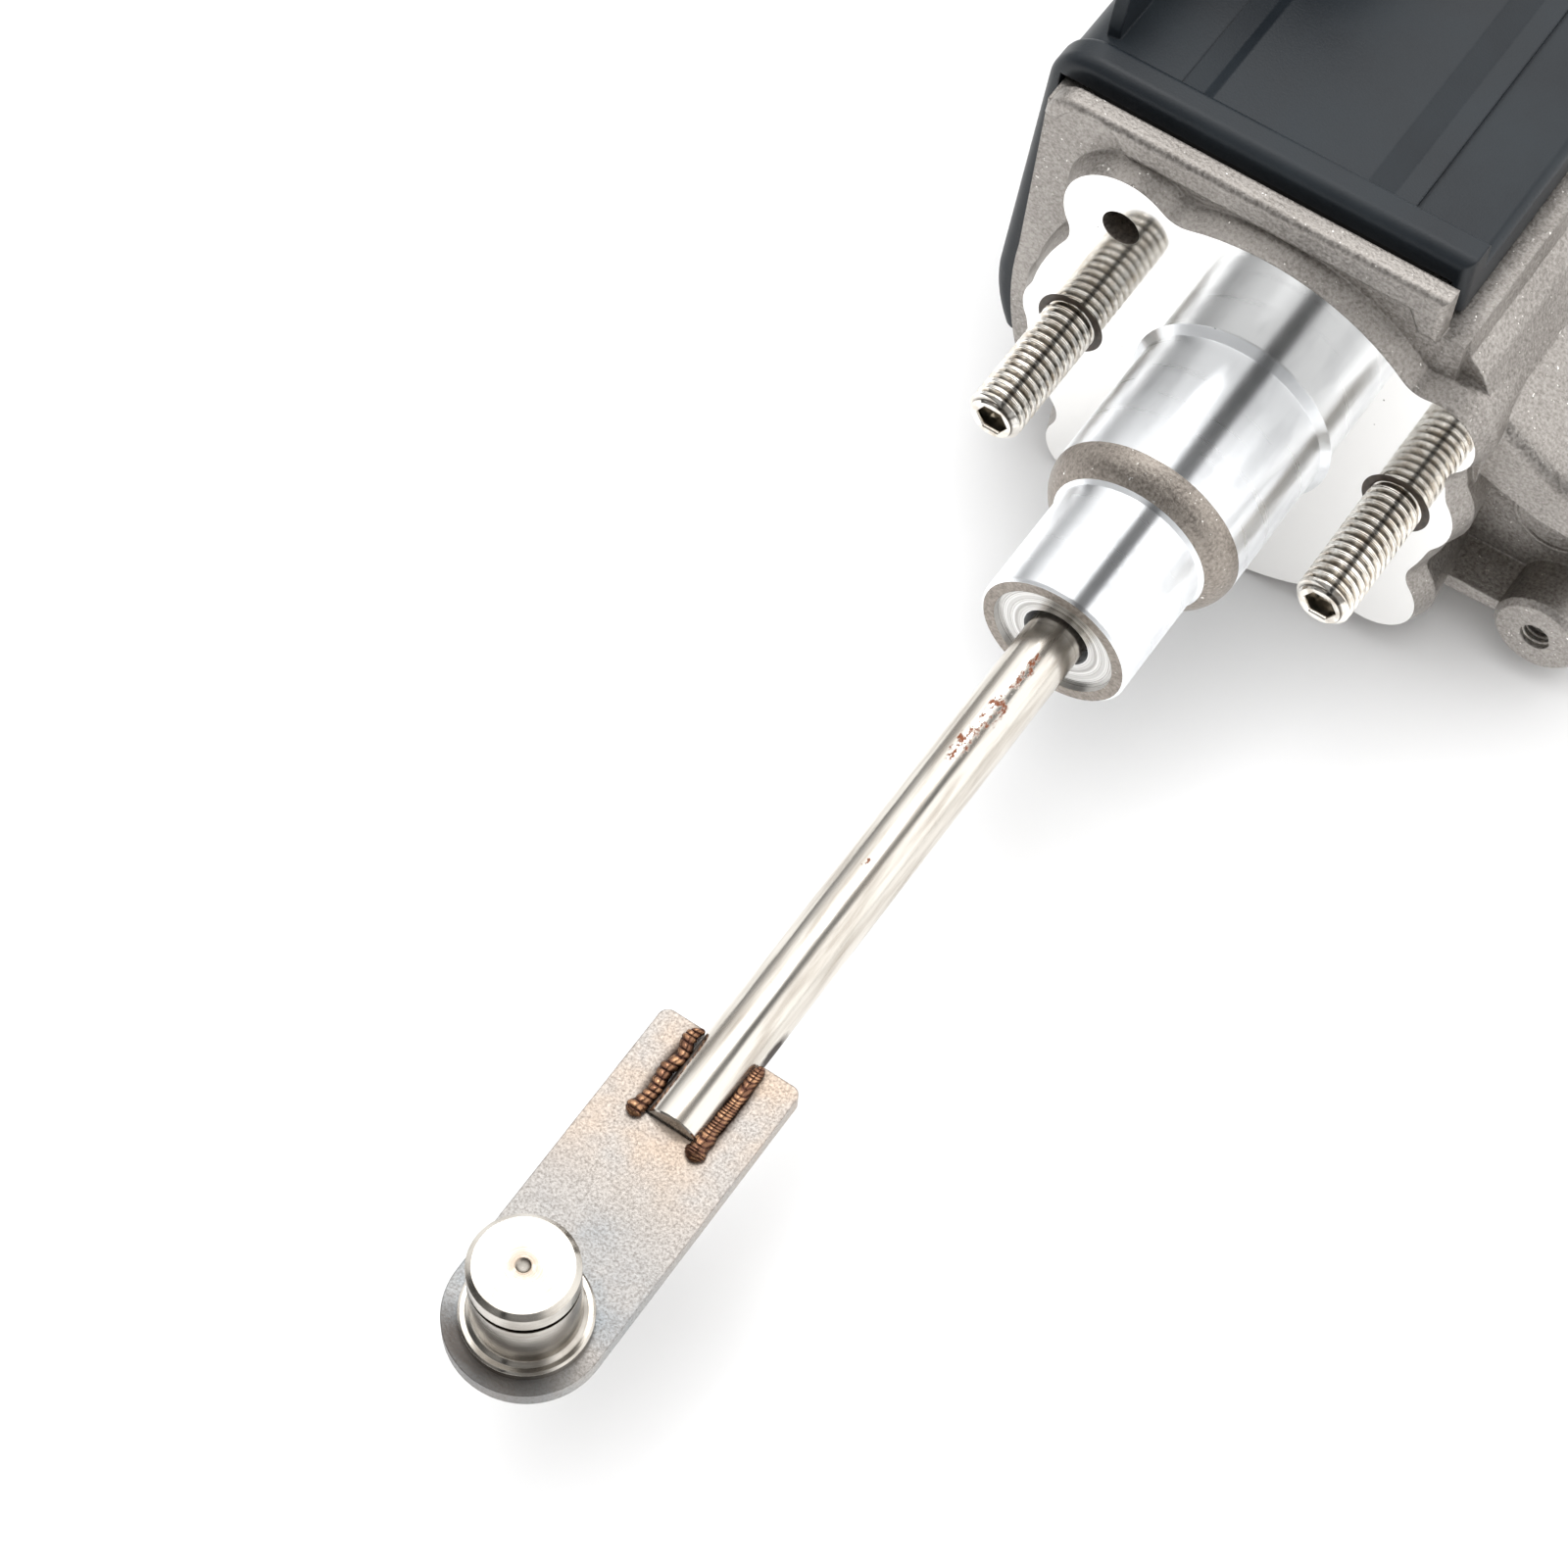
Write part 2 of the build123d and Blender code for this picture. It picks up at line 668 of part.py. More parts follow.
# Screws that hold the cover
for number, (x, y) in enumerate(screw_places, start=1):
    with BuildPart() as screw:
        with BuildSketch(Plane((x, y, ledge_z - screw_engagement))):
            Circle(screw_radius)
        extrude(amount=screw_engagement + cover_gap + lug_thickness)
        with BuildSketch(Plane((x, y, ledge_z + cover_gap + lug_thickness))):
            Circle(screw_head_radius)
        extrude(amount=screw_head_height)
        chamfer(screw.edges().sort_by(Axis.Z)[-1], 0.5)
        with BuildSketch(Plane((x, y, ledge_z + cover_gap + lug_thickness + 0.8))):
            RegularPolygon(1.4, 6)
        extrude(amount=screw_head_height, mode=Mode.SUBTRACT)
    screw.part.label = f"cover_screw_{number}"
    export_step(screw.part, f"parts/cover_screw_{number}.step")

# Connector blades
for number in range(terminal_count):
    blade_y = shroud_y + (number - (terminal_count - 1) / 2) * terminal_pitch
    with BuildPart() as terminal:
        with BuildSketch(Plane.XY.offset(cover_under - 2.4)):
            with Locations((shroud_x, blade_y)):
                Rectangle(0.8, 2.2)
        extrude(amount=shroud_top - 5 - cover_under + 2.4)
        chamfer(terminal.faces().sort_by(Axis.Z)[-1].edges(), 0.25)
    terminal.part.label = f"terminal_{number + 1}"
    export_step(terminal.part, f"parts/terminal_{number + 1}.step")

# Mounting studs with a hexagon socket in the tip
for name, x in (("stud_left", -stud_x), ("stud_right", stud_x)):
    with BuildPart() as stud:
        with BuildSketch(at_y(0)):
            with Locations((x, 0)):
                Circle(stud_radius)
        extrude(amount=stud_stand_out)
        chamfer(stud.edges().sort_by(Axis.Y)[0], stud_chamfer)
        with BuildSketch(at_y(stud_engagement - stud_end_gap)):
            with Locations((x, 0)):
                Circle(stud_inner_radius)
        extrude(amount=stud_engagement - stud_end_gap)
        with BuildSketch(at_y(-stud_stand_out)):
            with Locations((x, 0)):
                RegularPolygon(stud_socket_across_flats / 2, 6, major_radius=False)
        extrude(amount=-stud_socket_depth, mode=Mode.SUBTRACT)
    stud.part.label = name
    export_step(stud.part, f"parts/{name}.step")

# Rod guide: lip seal, two bushes and the plug that closes the tunnel
guide_clearance = 0.06
seal_inset = 0.2
seal_length = 4.0
bush_inset = 0.4
bush_length = 12.0
bush_space = 4.6
plug_inset = 3.0
plug_length = 2.6
seal_y = guide_bore_front + seal_inset
front_bush_y = seal_y + seal_length + bush_inset
rear_bush_y = front_bush_y + bush_length + bush_space
guide_pieces = (
    ("rod_seal", seal_y, seal_length, rod_radius + guide_clearance),
    ("rod_bush_front", front_bush_y, bush_length, rod_radius + guide_clearance),
    ("rod_bush_rear", rear_bush_y, bush_length, rod_radius + guide_clearance),
    ("tunnel_plug", tunnel_end - plug_inset, plug_length, 0),
)
for name, start_y, length, bore in guide_pieces:
    with BuildPart() as ring:
        with BuildSketch(at_y(start_y)):
            Circle(guide_bore_radius)
            if bore:
                Circle(bore, mode=Mode.SUBTRACT)
        extrude(amount=-length)
    ring.part.label = name
    export_step(ring.part, f"parts/{name}.step")

# Rod with a cross hole for the roller pin
with BuildPart() as push_rod:
    with BuildSketch(at_y(rod_inner_end)):
        Circle(rod_radius)
    extrude(amount=rod_inner_end - rod_outer_end)
    chamfer(push_rod.edges().sort_by(Axis.Y)[-1], 0.5)
    chamfer(push_rod.edges().sort_by(Axis.Y)[0], 0.15)
    with BuildSketch(Plane.XY.offset(-rod_radius)):
        with Locations((0, roller_rest_y)):
            Circle(roller_pin_radius)
    extrude(amount=2 * rod_radius, mode=Mode.SUBTRACT)
push_rod.part.label = "push_rod"
export_step(push_rod.part, "parts/push_rod.step")

# Link plate: round about the pin, square where the rod lies in its slot
plate_end_radius = plate_width / 2
slot_gap = 0.12
with BuildPart() as link_plate:
    with BuildSketch(Plane.XY.offset(plate_top - plate_thickness)):
        with BuildLine():
            Polyline((-plate_end_radius, pin_y), (-plate_end_radius, plate_square_end),
                     (plate_end_radius, plate_square_end), (plate_end_radius, pin_y))
            ThreePointArc((-plate_end_radius, pin_y), (0, pin_y - plate_end_radius),
                          (plate_end_radius, pin_y))
        make_face()
        fillet(vertices().group_by(Axis.Y)[-1], plate_corner_radius)
        with Locations((0, plate_square_end)):
            Rectangle(2 * (rod_radius + slot_gap), 2 * (plate_square_end - rod_outer_end + slot_gap),
                      mode=Mode.SUBTRACT)
        with Locations((0, pin_y)):
            Circle(pin_radius - pin_foot, mode=Mode.SUBTRACT)
    extrude(amount=plate_thickness)
link_plate.part.label = "link_plate"
export_step(link_plate.part, "parts/link_plate.step")

# Pivot pin: turned foot riveted through the plate, collar, shank with a clip groove
with BuildPart() as pivot_pin:
    foot_radius = pin_radius - pin_foot
    groove_top = pin_top - clip_groove_drop
    with BuildSketch(Plane.XZ.offset(-pin_y)):
        with BuildLine():
            Polyline((0, plate_top - plate_thickness), (foot_radius, plate_top - plate_thickness),
                     (foot_radius, plate_top), (pin_collar_radius, plate_top),
                     (pin_collar_radius, pin_collar_top - 0.2),
                     (pin_collar_radius - 0.2, pin_collar_top), (pin_radius + 0.4, pin_collar_top),
                     (pin_radius, pin_collar_top + 0.4), (pin_radius, groove_top - clip_groove_height),
                     (pin_radius - clip_groove_depth, groove_top - clip_groove_height),
                     (pin_radius - clip_groove_depth, groove_top), (pin_radius, groove_top),
                     (pin_radius, pin_top - 0.5), (pin_radius - 0.5, pin_top), (0.7, pin_top),
                     (0, pin_top - 0.7), close=True)
        make_face()
    revolve(axis=Axis((0, pin_y, 0), (0, 0, 1)))
pivot_pin.part.label = "pivot_pin"
export_step(pivot_pin.part, "parts/pivot_pin.step")

# Weld beads along both sides of the rod
weld_radius = 1.2
weld_front = plate_square_end - 0.4
weld_rear = rod_outer_end - 0.3
for name, side in (("weld_left", -1), ("weld_right", 1)):
    with BuildPart() as weld:
        with BuildSketch(at_y(weld_rear)):
            with Locations((side * (rod_radius + 0.75 * weld_radius), plate_top)):
                Circle(weld_radius)
            Circle(rod_radius, mode=Mode.SUBTRACT)
            with Locations((0, plate_top)):
                Rectangle(20, 10, align=(Align.CENTER, Align.MAX), mode=Mode.SUBTRACT)
        extrude(amount=-(weld_front - weld_rear))
    weld.part.label = name
    export_step(weld.part, f"parts/{name}.step")

# Roller pin through the rod, and the roller that runs in the gear's groove
roller_bottom = output_bottom + 0.3
roller_height = groove_depth - 0.6
with BuildPart() as roller_pin:
    with BuildSketch(Plane.XY.offset(-rod_radius + 0.3)):
        with Locations((0, roller_rest_y)):
            Circle(roller_pin_radius)
    extrude(amount=rod_radius - 0.3 + roller_bottom + roller_height - 0.2)
roller_pin.part.label = "roller_pin"
export_step(roller_pin.part, "parts/roller_pin.step")

with BuildPart() as cam_roller:
    with BuildSketch(Plane.XY.offset(roller_bottom)):
        with Locations((0, roller_rest_y)):
            Circle(roller_radius)
            Circle(roller_pin_radius + 0.06, mode=Mode.SUBTRACT)
    extrude(amount=roller_height)
cam_roller.part.label = "cam_roller"
export_step(cam_roller.part, "parts/cam_roller.step")

# Fixed axles of the output gear and of the idler gear
for name, x, y in (("output_axle", output_x, output_y), ("idler_axle", idler_x, idler_y)):
    with BuildPart() as axle:
        with BuildSketch(Plane.XY.offset(deck_under + 0.8)):
            with Locations((x, y)):
                Circle(axle_radius)
        extrude(amount=cover_under - deck_under - 1.0)
    axle.part.label = name
    export_step(axle.part, f"parts/{name}.step")

# Output gear: a toothed sector and, on its underside, the groove that moves the rod
tooth_step = 360 / output_teeth
teeth_before = ceil((degrees(turn_per_mm * stroke_out) + 15) / tooth_step)
teeth_after = ceil((degrees(turn_per_mm * stroke_in) + 15) / tooth_step)
hub_radius = axle_radius + 1.7
magnet_radius = 6.0
glue_gap = 0.04


def groove_point(travel):
    """Return the roller's place seen from the resting gear's axis when the rod has moved in by travel."""
    turn = turn_per_mm * travel
    dx = -output_x
    dy = roller_rest_y + travel - output_y
    return (dx * cos(turn) - dy * sin(turn), dx * sin(turn) + dy * cos(turn))


with BuildPart() as output_gear:
    teeth = []
    for i in range(-teeth_before, teeth_after + 1):
        teeth += tooth_points(output_teeth, output_module, 0.7, idler_angle + i * tooth_step)
    first_edge = radians(idler_angle - (teeth_before + 0.5) * tooth_step)
    last_edge = radians(idler_angle + (teeth_after + 0.5) * tooth_step)
    back = (first_edge + last_edge) / 2 + pi
    first_corner = (output_disc_radius * cos(first_edge), output_disc_radius * sin(first_edge))
    last_corner = (output_disc_radius * cos(last_edge), output_disc_radius * sin(last_edge))
    back_middle = (output_disc_radius * cos(back), output_disc_radius * sin(back))
    with BuildSketch(Plane((output_x, output_y, output_bottom))):
        with BuildLine():
            Polyline(first_corner, *teeth, last_corner)
            ThreePointArc(last_corner, back_middle, first_corner)
        make_face()
    extrude(amount=output_gear_height)
    with BuildSketch(Plane((output_x, output_y, output_top))):
        Circle(hub_radius)
    extrude(amount=magnet_height)
    # Spiral groove, a little wider than the roller
    with BuildSketch(Plane((output_x, output_y, output_bottom))):
        groove_radius = roller_radius + groove_clearance
        with BuildLine():
            Spline(*[groove_point(-stroke_out + stroke * i / 12) for i in range(13)])
        trace(line_width=2 * groove_radius)
        with Locations(groove_point(-stroke_out), groove_point(stroke_in)):
            Circle(groove_radius)
    extrude(amount=groove_depth, mode=Mode.SUBTRACT)
    with BuildSketch(Plane((output_x, output_y, output_bottom))):
        Circle(axle_radius + axle_clearance)
    extrude(amount=output_gear_height + magnet_height, mode=Mode.SUBTRACT)
output_gear.part.label = "output_gear"
export_step(output_gear.part, "parts/output_gear.step")

# Ring magnet on the output gear's hub, read by the board under the cover
with BuildPart() as sensor_magnet:
    with BuildSketch(Plane((output_x, output_y, output_top))):
        Circle(magnet_radius)
        Circle(hub_radius + glue_gap, mode=Mode.SUBTRACT)
    extrude(amount=magnet_height)
sensor_magnet.part.label = "sensor_magnet"
export_step(sensor_magnet.part, "parts/sensor_magnet.step")

# Idler: the small pinion drives the output gear, the large gear is driven by the motor
with BuildPart() as idler_gear:
    with BuildSketch(Plane((idler_x, idler_y, output_bottom))):
        add(gear_face(idler_pinion_teeth, output_module, 1.0, idler_angle + 180 + 180 / idler_pinion_teeth))
    extrude(amount=idler_gear_bottom - output_bottom)
    with BuildSketch(Plane((idler_x, idler_y, idler_gear_bottom))):
        add(gear_face(idler_teeth, idler_module, 0.7, motor_angle))
    extrude(amount=idler_gear_height)
    with BuildSketch(Plane((idler_x, idler_y, idler_gear_top))):
        Circle(idler_pitch_radius - 2.6)
        Circle(hub_radius + 1.6, mode=Mode.SUBTRACT)
    extrude(amount=-1.2, mode=Mode.SUBTRACT)
    with BuildSketch(Plane((idler_x, idler_y, output_bottom))):
        Circle(axle_radius + axle_clearance)
    extrude(amount=idler_gear_top - output_bottom, mode=Mode.SUBTRACT)
idler_gear.part.label = "idler_gear"
export_step(idler_gear.part, "parts/idler_gear.step")

# Motor: can with a closed floor, end cap, two magnets, two bearings, armature, shaft and pinion
motor_place = (motor_x, motor_y)
can_inside = motor_radius - motor_wall
bearing_radius = 2.6
bearing_height = 3.0
end_cap_plate = 2.0
end_cap_height = 4.0
shaft_clearance = 0.05
air_gap = 0.4
with BuildPart() as motor_can:
    with BuildSketch(Plane((*motor_place, motor_floor + 0.2))):
        Circle(motor_radius)
    extrude(amount=motor_top - end_cap_plate - motor_floor - 0.2)
    with BuildSketch(Plane((*motor_place, motor_floor + 0.2 + motor_wall))):
        Circle(can_inside)
    extrude(amount=40, mode=Mode.SUBTRACT)
    chamfer(motor_can.edges().group_by(Axis.Z)[0], 0.5)
motor_can.part.label = "motor_can"
export_step(motor_can.part, "parts/motor_can.step")

with BuildPart() as motor_end_cap:
    with BuildSketch(Plane((*motor_place, motor_top - end_cap_plate))):
        Circle(motor_radius)
        Circle(bearing_radius, mode=Mode.SUBTRACT)
    extrude(amount=end_cap_plate)
    with BuildSketch(Plane((*motor_place, motor_top - end_cap_height))):
        Circle(bearing_radius + 1.2)
        Circle(bearing_radius, mode=Mode.SUBTRACT)
    extrude(amount=end_cap_height - end_cap_plate)
motor_end_cap.part.label = "motor_end_cap"
export_step(motor_end_cap.part, "parts/motor_end_cap.step")

for name, bottom in (
    ("motor_bearing_low", motor_floor + 0.2 + motor_wall),
    ("motor_bearing_top", motor_top - 3.6),
):
    with BuildPart() as bearing:
        with BuildSketch(Plane((*motor_place, bottom))):
            Circle(bearing_radius)
            Circle(motor_shaft_radius + shaft_clearance, mode=Mode.SUBTRACT)
        extrude(amount=bearing_height)
    bearing.part.label = name
    export_step(bearing.part, f"parts/{name}.step")

magnet_bottom = motor_floor + 6.5
magnet_length = 16.0
magnet_inside = can_inside - 1.8
for name, middle in (("motor_magnet_left", 180), ("motor_magnet_right", 0)):
    with BuildPart() as magnet:
        with BuildSketch(Plane((*motor_place, magnet_bottom))):
            Circle(can_inside - glue_gap)
            Circle(magnet_inside, mode=Mode.SUBTRACT)
            with Locations(Location((0, 0, 0), (0, 0, middle))):
                with BuildLine():
                    Polyline((0, 0), (30, 34), (-30, 34), close=True)
                make_face(mode=Mode.SUBTRACT)
                with BuildLine():
                    Polyline((0, 0), (30, -34), (-30, -34), close=True)
                make_face(mode=Mode.SUBTRACT)
            with Locations(Location((0, 0, 0), (0, 0, middle))):
                Rectangle(30, 60, align=(Align.MAX, Align.CENTER), mode=Mode.SUBTRACT)
        extrude(amount=magnet_length)
    magnet.part.label = name
    export_step(magnet.part, f"parts/{name}.step")

with BuildPart() as motor_shaft:
    with BuildSketch(Plane((*motor_place, motor_floor + 0.4 + motor_wall))):
        Circle(motor_shaft_radius)
    extrude(amount=idler_gear_top + 0.6 - motor_floor - 0.4 - motor_wall)
motor_shaft.part.label = "motor_shaft"
export_step(motor_shaft.part, "parts/motor_shaft.step")

# Laminated core with its poles
pole_count = 5
with BuildPart() as armature:
    pole_radius = magnet_inside - air_gap
    with BuildSketch(Plane((*motor_place, magnet_bottom + 1))):
        Circle(pole_radius)
        Circle(motor_shaft_radius, mode=Mode.SUBTRACT)
        with PolarLocations(pole_radius - 2.3, pole_count):
            Rectangle(3.6, 2.4, mode=Mode.SUBTRACT)
        with PolarLocations(pole_radius, pole_count):
            Rectangle(2.4, 0.8, mode=Mode.SUBTRACT)
    extrude(amount=magnet_length - 2)
armature.part.label = "armature"
export_step(armature.part, "parts/armature.step")

with BuildPart() as commutator:
    with BuildSketch(Plane((*motor_place, magnet_bottom + magnet_length - 1))):
        Circle(2.4)
        Circle(motor_shaft_radius, mode=Mode.SUBTRACT)
    extrude(amount=3.2)
commutator.part.label = "commutator"
export_step(commutator.part, "parts/commutator.step")

with BuildPart() as motor_pinion:
    first_gap = motor_angle + 180 + 180 / motor_pinion_teeth
    with BuildSketch(Plane((*motor_place, idler_gear_bottom - 0.4))):
        add(gear_face(motor_pinion_teeth, idler_module, 1.0, first_gap))
        Circle(motor_shaft_radius, mode=Mode.SUBTRACT)
    extrude(amount=idler_gear_height + 0.6)
motor_pinion.part.label = "motor_pinion"
export_step(motor_pinion.part, "parts/motor_pinion.step")

# Sensor board under the cover's pegs, open around the output gear's boss
with BuildPart() as sensor_board:
    with BuildSketch(Plane((output_x, output_y, board_under))):
        with Locations((board_shift_x, board_shift_y)):
            Rectangle(board_width, board_length)
        Circle(boss_wall + axle_radius + 0.4, mode=Mode.SUBTRACT)
    extrude(amount=board_thickness)
    with BuildSketch(Plane((output_x, output_y, board_under))):
        with Locations((4.5, -6.5)):
            Rectangle(4, 3)
    extrude(amount=-0.8)
sensor_board.part.label = "sensor_board"
export_step(sensor_board.part, "parts/sensor_board.step")
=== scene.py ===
"""Looks of an electric wastegate actuator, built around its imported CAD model.

Each sub-assembly is a class. It holds its sizes in millimetres and gives every solid the finish of its real
material. It also builds the pieces whose surface the solids leave plain, such as threads and weld beads.
"""

from __future__ import annotations

import logging
import math
from dataclasses import dataclass, field
from enum import Enum

import bpy
import numpy as np
from mathutils import Matrix, Vector

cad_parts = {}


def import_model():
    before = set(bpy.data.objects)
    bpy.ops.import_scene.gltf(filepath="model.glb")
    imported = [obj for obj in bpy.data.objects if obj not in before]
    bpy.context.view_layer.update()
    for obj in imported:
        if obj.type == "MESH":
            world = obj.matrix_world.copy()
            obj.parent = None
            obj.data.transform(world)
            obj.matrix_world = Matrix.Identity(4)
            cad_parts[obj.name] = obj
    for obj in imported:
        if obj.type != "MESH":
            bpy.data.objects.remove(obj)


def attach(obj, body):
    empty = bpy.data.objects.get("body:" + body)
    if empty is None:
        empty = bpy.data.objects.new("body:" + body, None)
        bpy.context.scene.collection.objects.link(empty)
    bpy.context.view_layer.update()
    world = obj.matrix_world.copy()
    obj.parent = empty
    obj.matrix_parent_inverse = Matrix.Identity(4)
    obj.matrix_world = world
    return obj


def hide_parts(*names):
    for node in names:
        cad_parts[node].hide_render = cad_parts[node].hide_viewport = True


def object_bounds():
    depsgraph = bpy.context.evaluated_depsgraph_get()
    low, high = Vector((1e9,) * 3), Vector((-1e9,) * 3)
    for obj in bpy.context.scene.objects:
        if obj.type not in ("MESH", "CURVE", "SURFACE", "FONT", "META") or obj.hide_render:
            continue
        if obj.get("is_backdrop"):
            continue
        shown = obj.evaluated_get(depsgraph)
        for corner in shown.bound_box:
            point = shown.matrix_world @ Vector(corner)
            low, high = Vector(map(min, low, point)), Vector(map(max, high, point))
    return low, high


LOG = logging.getLogger("wastegate_actuator")
MM = 0.001
SHARP_ANGLE = math.radians(50)
RING_COLUMNS = 96
STUD_X = 18.7


# Small helpers for meshes


def smooth_step(values: np.ndarray, low: float, high: float) -> np.ndarray:
    """Rise smoothly from 0 to 1 between two bounds: 3t^2 - 2t^3, with t the place between them.

    Args:
        values: the numbers to map.
        low: where the rise starts.
        high: where it ends.

    Returns:
        An array as large as values, from 0 to 1.
    """
    t = np.clip((values - low) / (high - low), 0.0, 1.0)
    return t * t * (3.0 - 2.0 * t)


def grid_faces(rows: int, columns: int) -> np.ndarray:
    """Join a grid of points that is closed round its columns into quads.

    Args:
        rows: how many points the grid has along it.
        columns: how many it has round it.

    Returns:
        The four point numbers of each quad, one quad a row.
    """
    i, j = np.meshgrid(np.arange(rows - 1), np.arange(columns), indexing="ij")
    k = (j + 1) % columns
    low, high = i * columns, (i + 1) * columns
    quads = np.stack([low + j, low + k, high + k, high + j], axis=-1)
    return quads.reshape(-1, 4)


def new_piece(name: str, vertices: np.ndarray, faces: list[list[int]]) -> bpy.types.Object:
    """Make an object at the origin from plain numbers.

    Args:
        name: the new object's name.
        vertices: their positions in metres, one a row.
        faces: the vertex numbers of each face.

    Returns:
        The new object.
    """
    mesh = bpy.data.meshes.new(name)
    mesh.from_pydata(vertices.tolist(), [], faces)
    mesh.update()
    piece = bpy.data.objects.new(name, mesh)
    bpy.context.scene.collection.objects.link(piece)
    return piece


def closed_tube(name: str, points: np.ndarray) -> bpy.types.Object:
    """Make a smooth closed mesh from rings of points, its ends drawn together at the middle of their rings.

    Args:
        name: the new object's name.
        points: rows x columns x 3 positions in millimetres, closed round the columns.

    Returns:
        The new object, at the origin.
    """
    rows, columns = points.shape[:2]
    body = points.reshape(-1, 3)
    poles = np.stack([points[0].mean(axis=0), points[-1].mean(axis=0)])
    vertices = np.concatenate([body, poles]) * MM
    ring = np.arange(columns)
    after = (ring + 1) % columns
    first = np.stack([np.full(columns, rows * columns), after, ring], axis=-1)
    base = (rows - 1) * columns
    last = np.stack([np.full(columns, rows * columns + 1), base + ring, base + after], axis=-1)
    faces = grid_faces(rows, columns).tolist() + first.tolist() + last.tolist()
    piece = new_piece(name, vertices, faces)
    piece.data.shade_smooth()
    piece.data.set_sharp_from_angle(angle=SHARP_ANGLE)
    outward_faces(piece.data)
    return piece


def turned_ring(name: str, profile: tuple[tuple[float, float], ...], x: float, z: float) -> bpy.types.Object:
    """Turn a closed profile round an axis that runs along y.

    Args:
        name: the new object's name.
        profile: the radius and the y of each corner, in millimetres, in order round the profile.
        x: where the axis lies.
        z: how high it lies.

    Returns:
        The new object, at the origin.
    """
    angle = np.linspace(0.0, 2 * np.pi, RING_COLUMNS, endpoint=False)
    radius, along = np.array(profile + profile[:1]).T
    r, turn = np.meshgrid(radius, angle, indexing="ij")
    y = np.broadcast_to(along[:, None], r.shape)
    points = np.stack([x + r * np.cos(turn), y, z + r * np.sin(turn)], axis=-1)[:-1].reshape(-1, 3) * MM
    faces = grid_faces(len(profile) + 1, len(angle)) % len(points)
    piece = new_piece(name, points, faces.tolist())
    outward_faces(piece.data)
    return piece


def outward_faces(mesh: bpy.types.Mesh) -> None:
    """Turn a closed mesh's faces so that they point outwards, going by the sign of its volume.

    Args:
        mesh: the mesh to turn.
    """
    mesh.calc_loop_triangles()
    corner = np.zeros(len(mesh.loop_triangles) * 3, dtype=np.int64)
    mesh.loop_triangles.foreach_get("vertices", corner)
    place = np.zeros(len(mesh.vertices) * 3)
    mesh.vertices.foreach_get("co", place)
    a, b, c = place.reshape(-1, 3)[corner.reshape(-1, 3)].transpose(1, 0, 2)
    if np.einsum("ij,ij->i", a, np.cross(b, c)).sum() < 0:
        mesh.flip_normals()


# Finishes


def linear(colour: str) -> tuple[float, float, float, float]:
    """Turn an sRGB hex colour into linear light.

    Args:
        colour: six hex digits, with or without a leading #.

    Returns:
        Red, green, blue and an alpha of 1.
    """
    parts = [int(colour.lstrip("#")[i : i + 2], 16) / 255 for i in (0, 2, 4)]
    lit = [p / 12.92 if p <= 0.04045 else ((p + 0.055) / 1.055) ** 2.4 for p in parts]
    return (lit[0], lit[1], lit[2], 1.0)


def per_size(size_mm: float) -> float:
    """Return the texture scale, in turns per metre, that gives a pattern of this size in millimetres."""
    return 1.0 / (size_mm * MM)


class Nodes:
    """The node tree of a material or of the world, cleared and then built up node by node."""

    def __init__(self, owner: bpy.types.Material | bpy.types.World) -> None:
        """Clear the owner's node tree.

        Args:
            owner: the material or the world.
        """
        owner.use_nodes = True
        self.tree = owner.node_tree
        self.tree.nodes.clear()

    def join(self, socket: bpy.types.NodeSocket, value: object) -> None:
        """Link an input, or give it a plain value.

        Args:
            socket: the input.
            value: another node's output, or the plain value.
        """
        if isinstance(value, bpy.types.NodeSocket):
            self.tree.links.new(value, socket)
        else:
            socket.default_value = value

    def add(self, kind: str, *values: object, out: str = "", **named: object) -> bpy.types.NodeSocket | None:
        """Add a node with its settings and links.

        Args:
            kind: Blender's name for the node, after its leading ShaderNode.
            values: what goes to the inputs that the settings leave active, in their order.
            out: the name of the output to return, or nothing for the first active one.
            named: the node's own properties in small letters, and inputs by their capitalised names.

        Returns:
            The output, or None where the node has none.
        """
        made = self.tree.nodes.new(f"ShaderNode{kind}")
        for key, value in named.items():
            if key[0].islower():
                setattr(made, key, value)
        for socket, value in zip([i for i in made.inputs if i.enabled], values):
            self.join(socket, value)
        for key, value in named.items():
            if key[0].isupper():
                self.join(made.inputs[key], value)
        return made.outputs[out] if out else next((o for o in made.outputs if o.enabled), None)


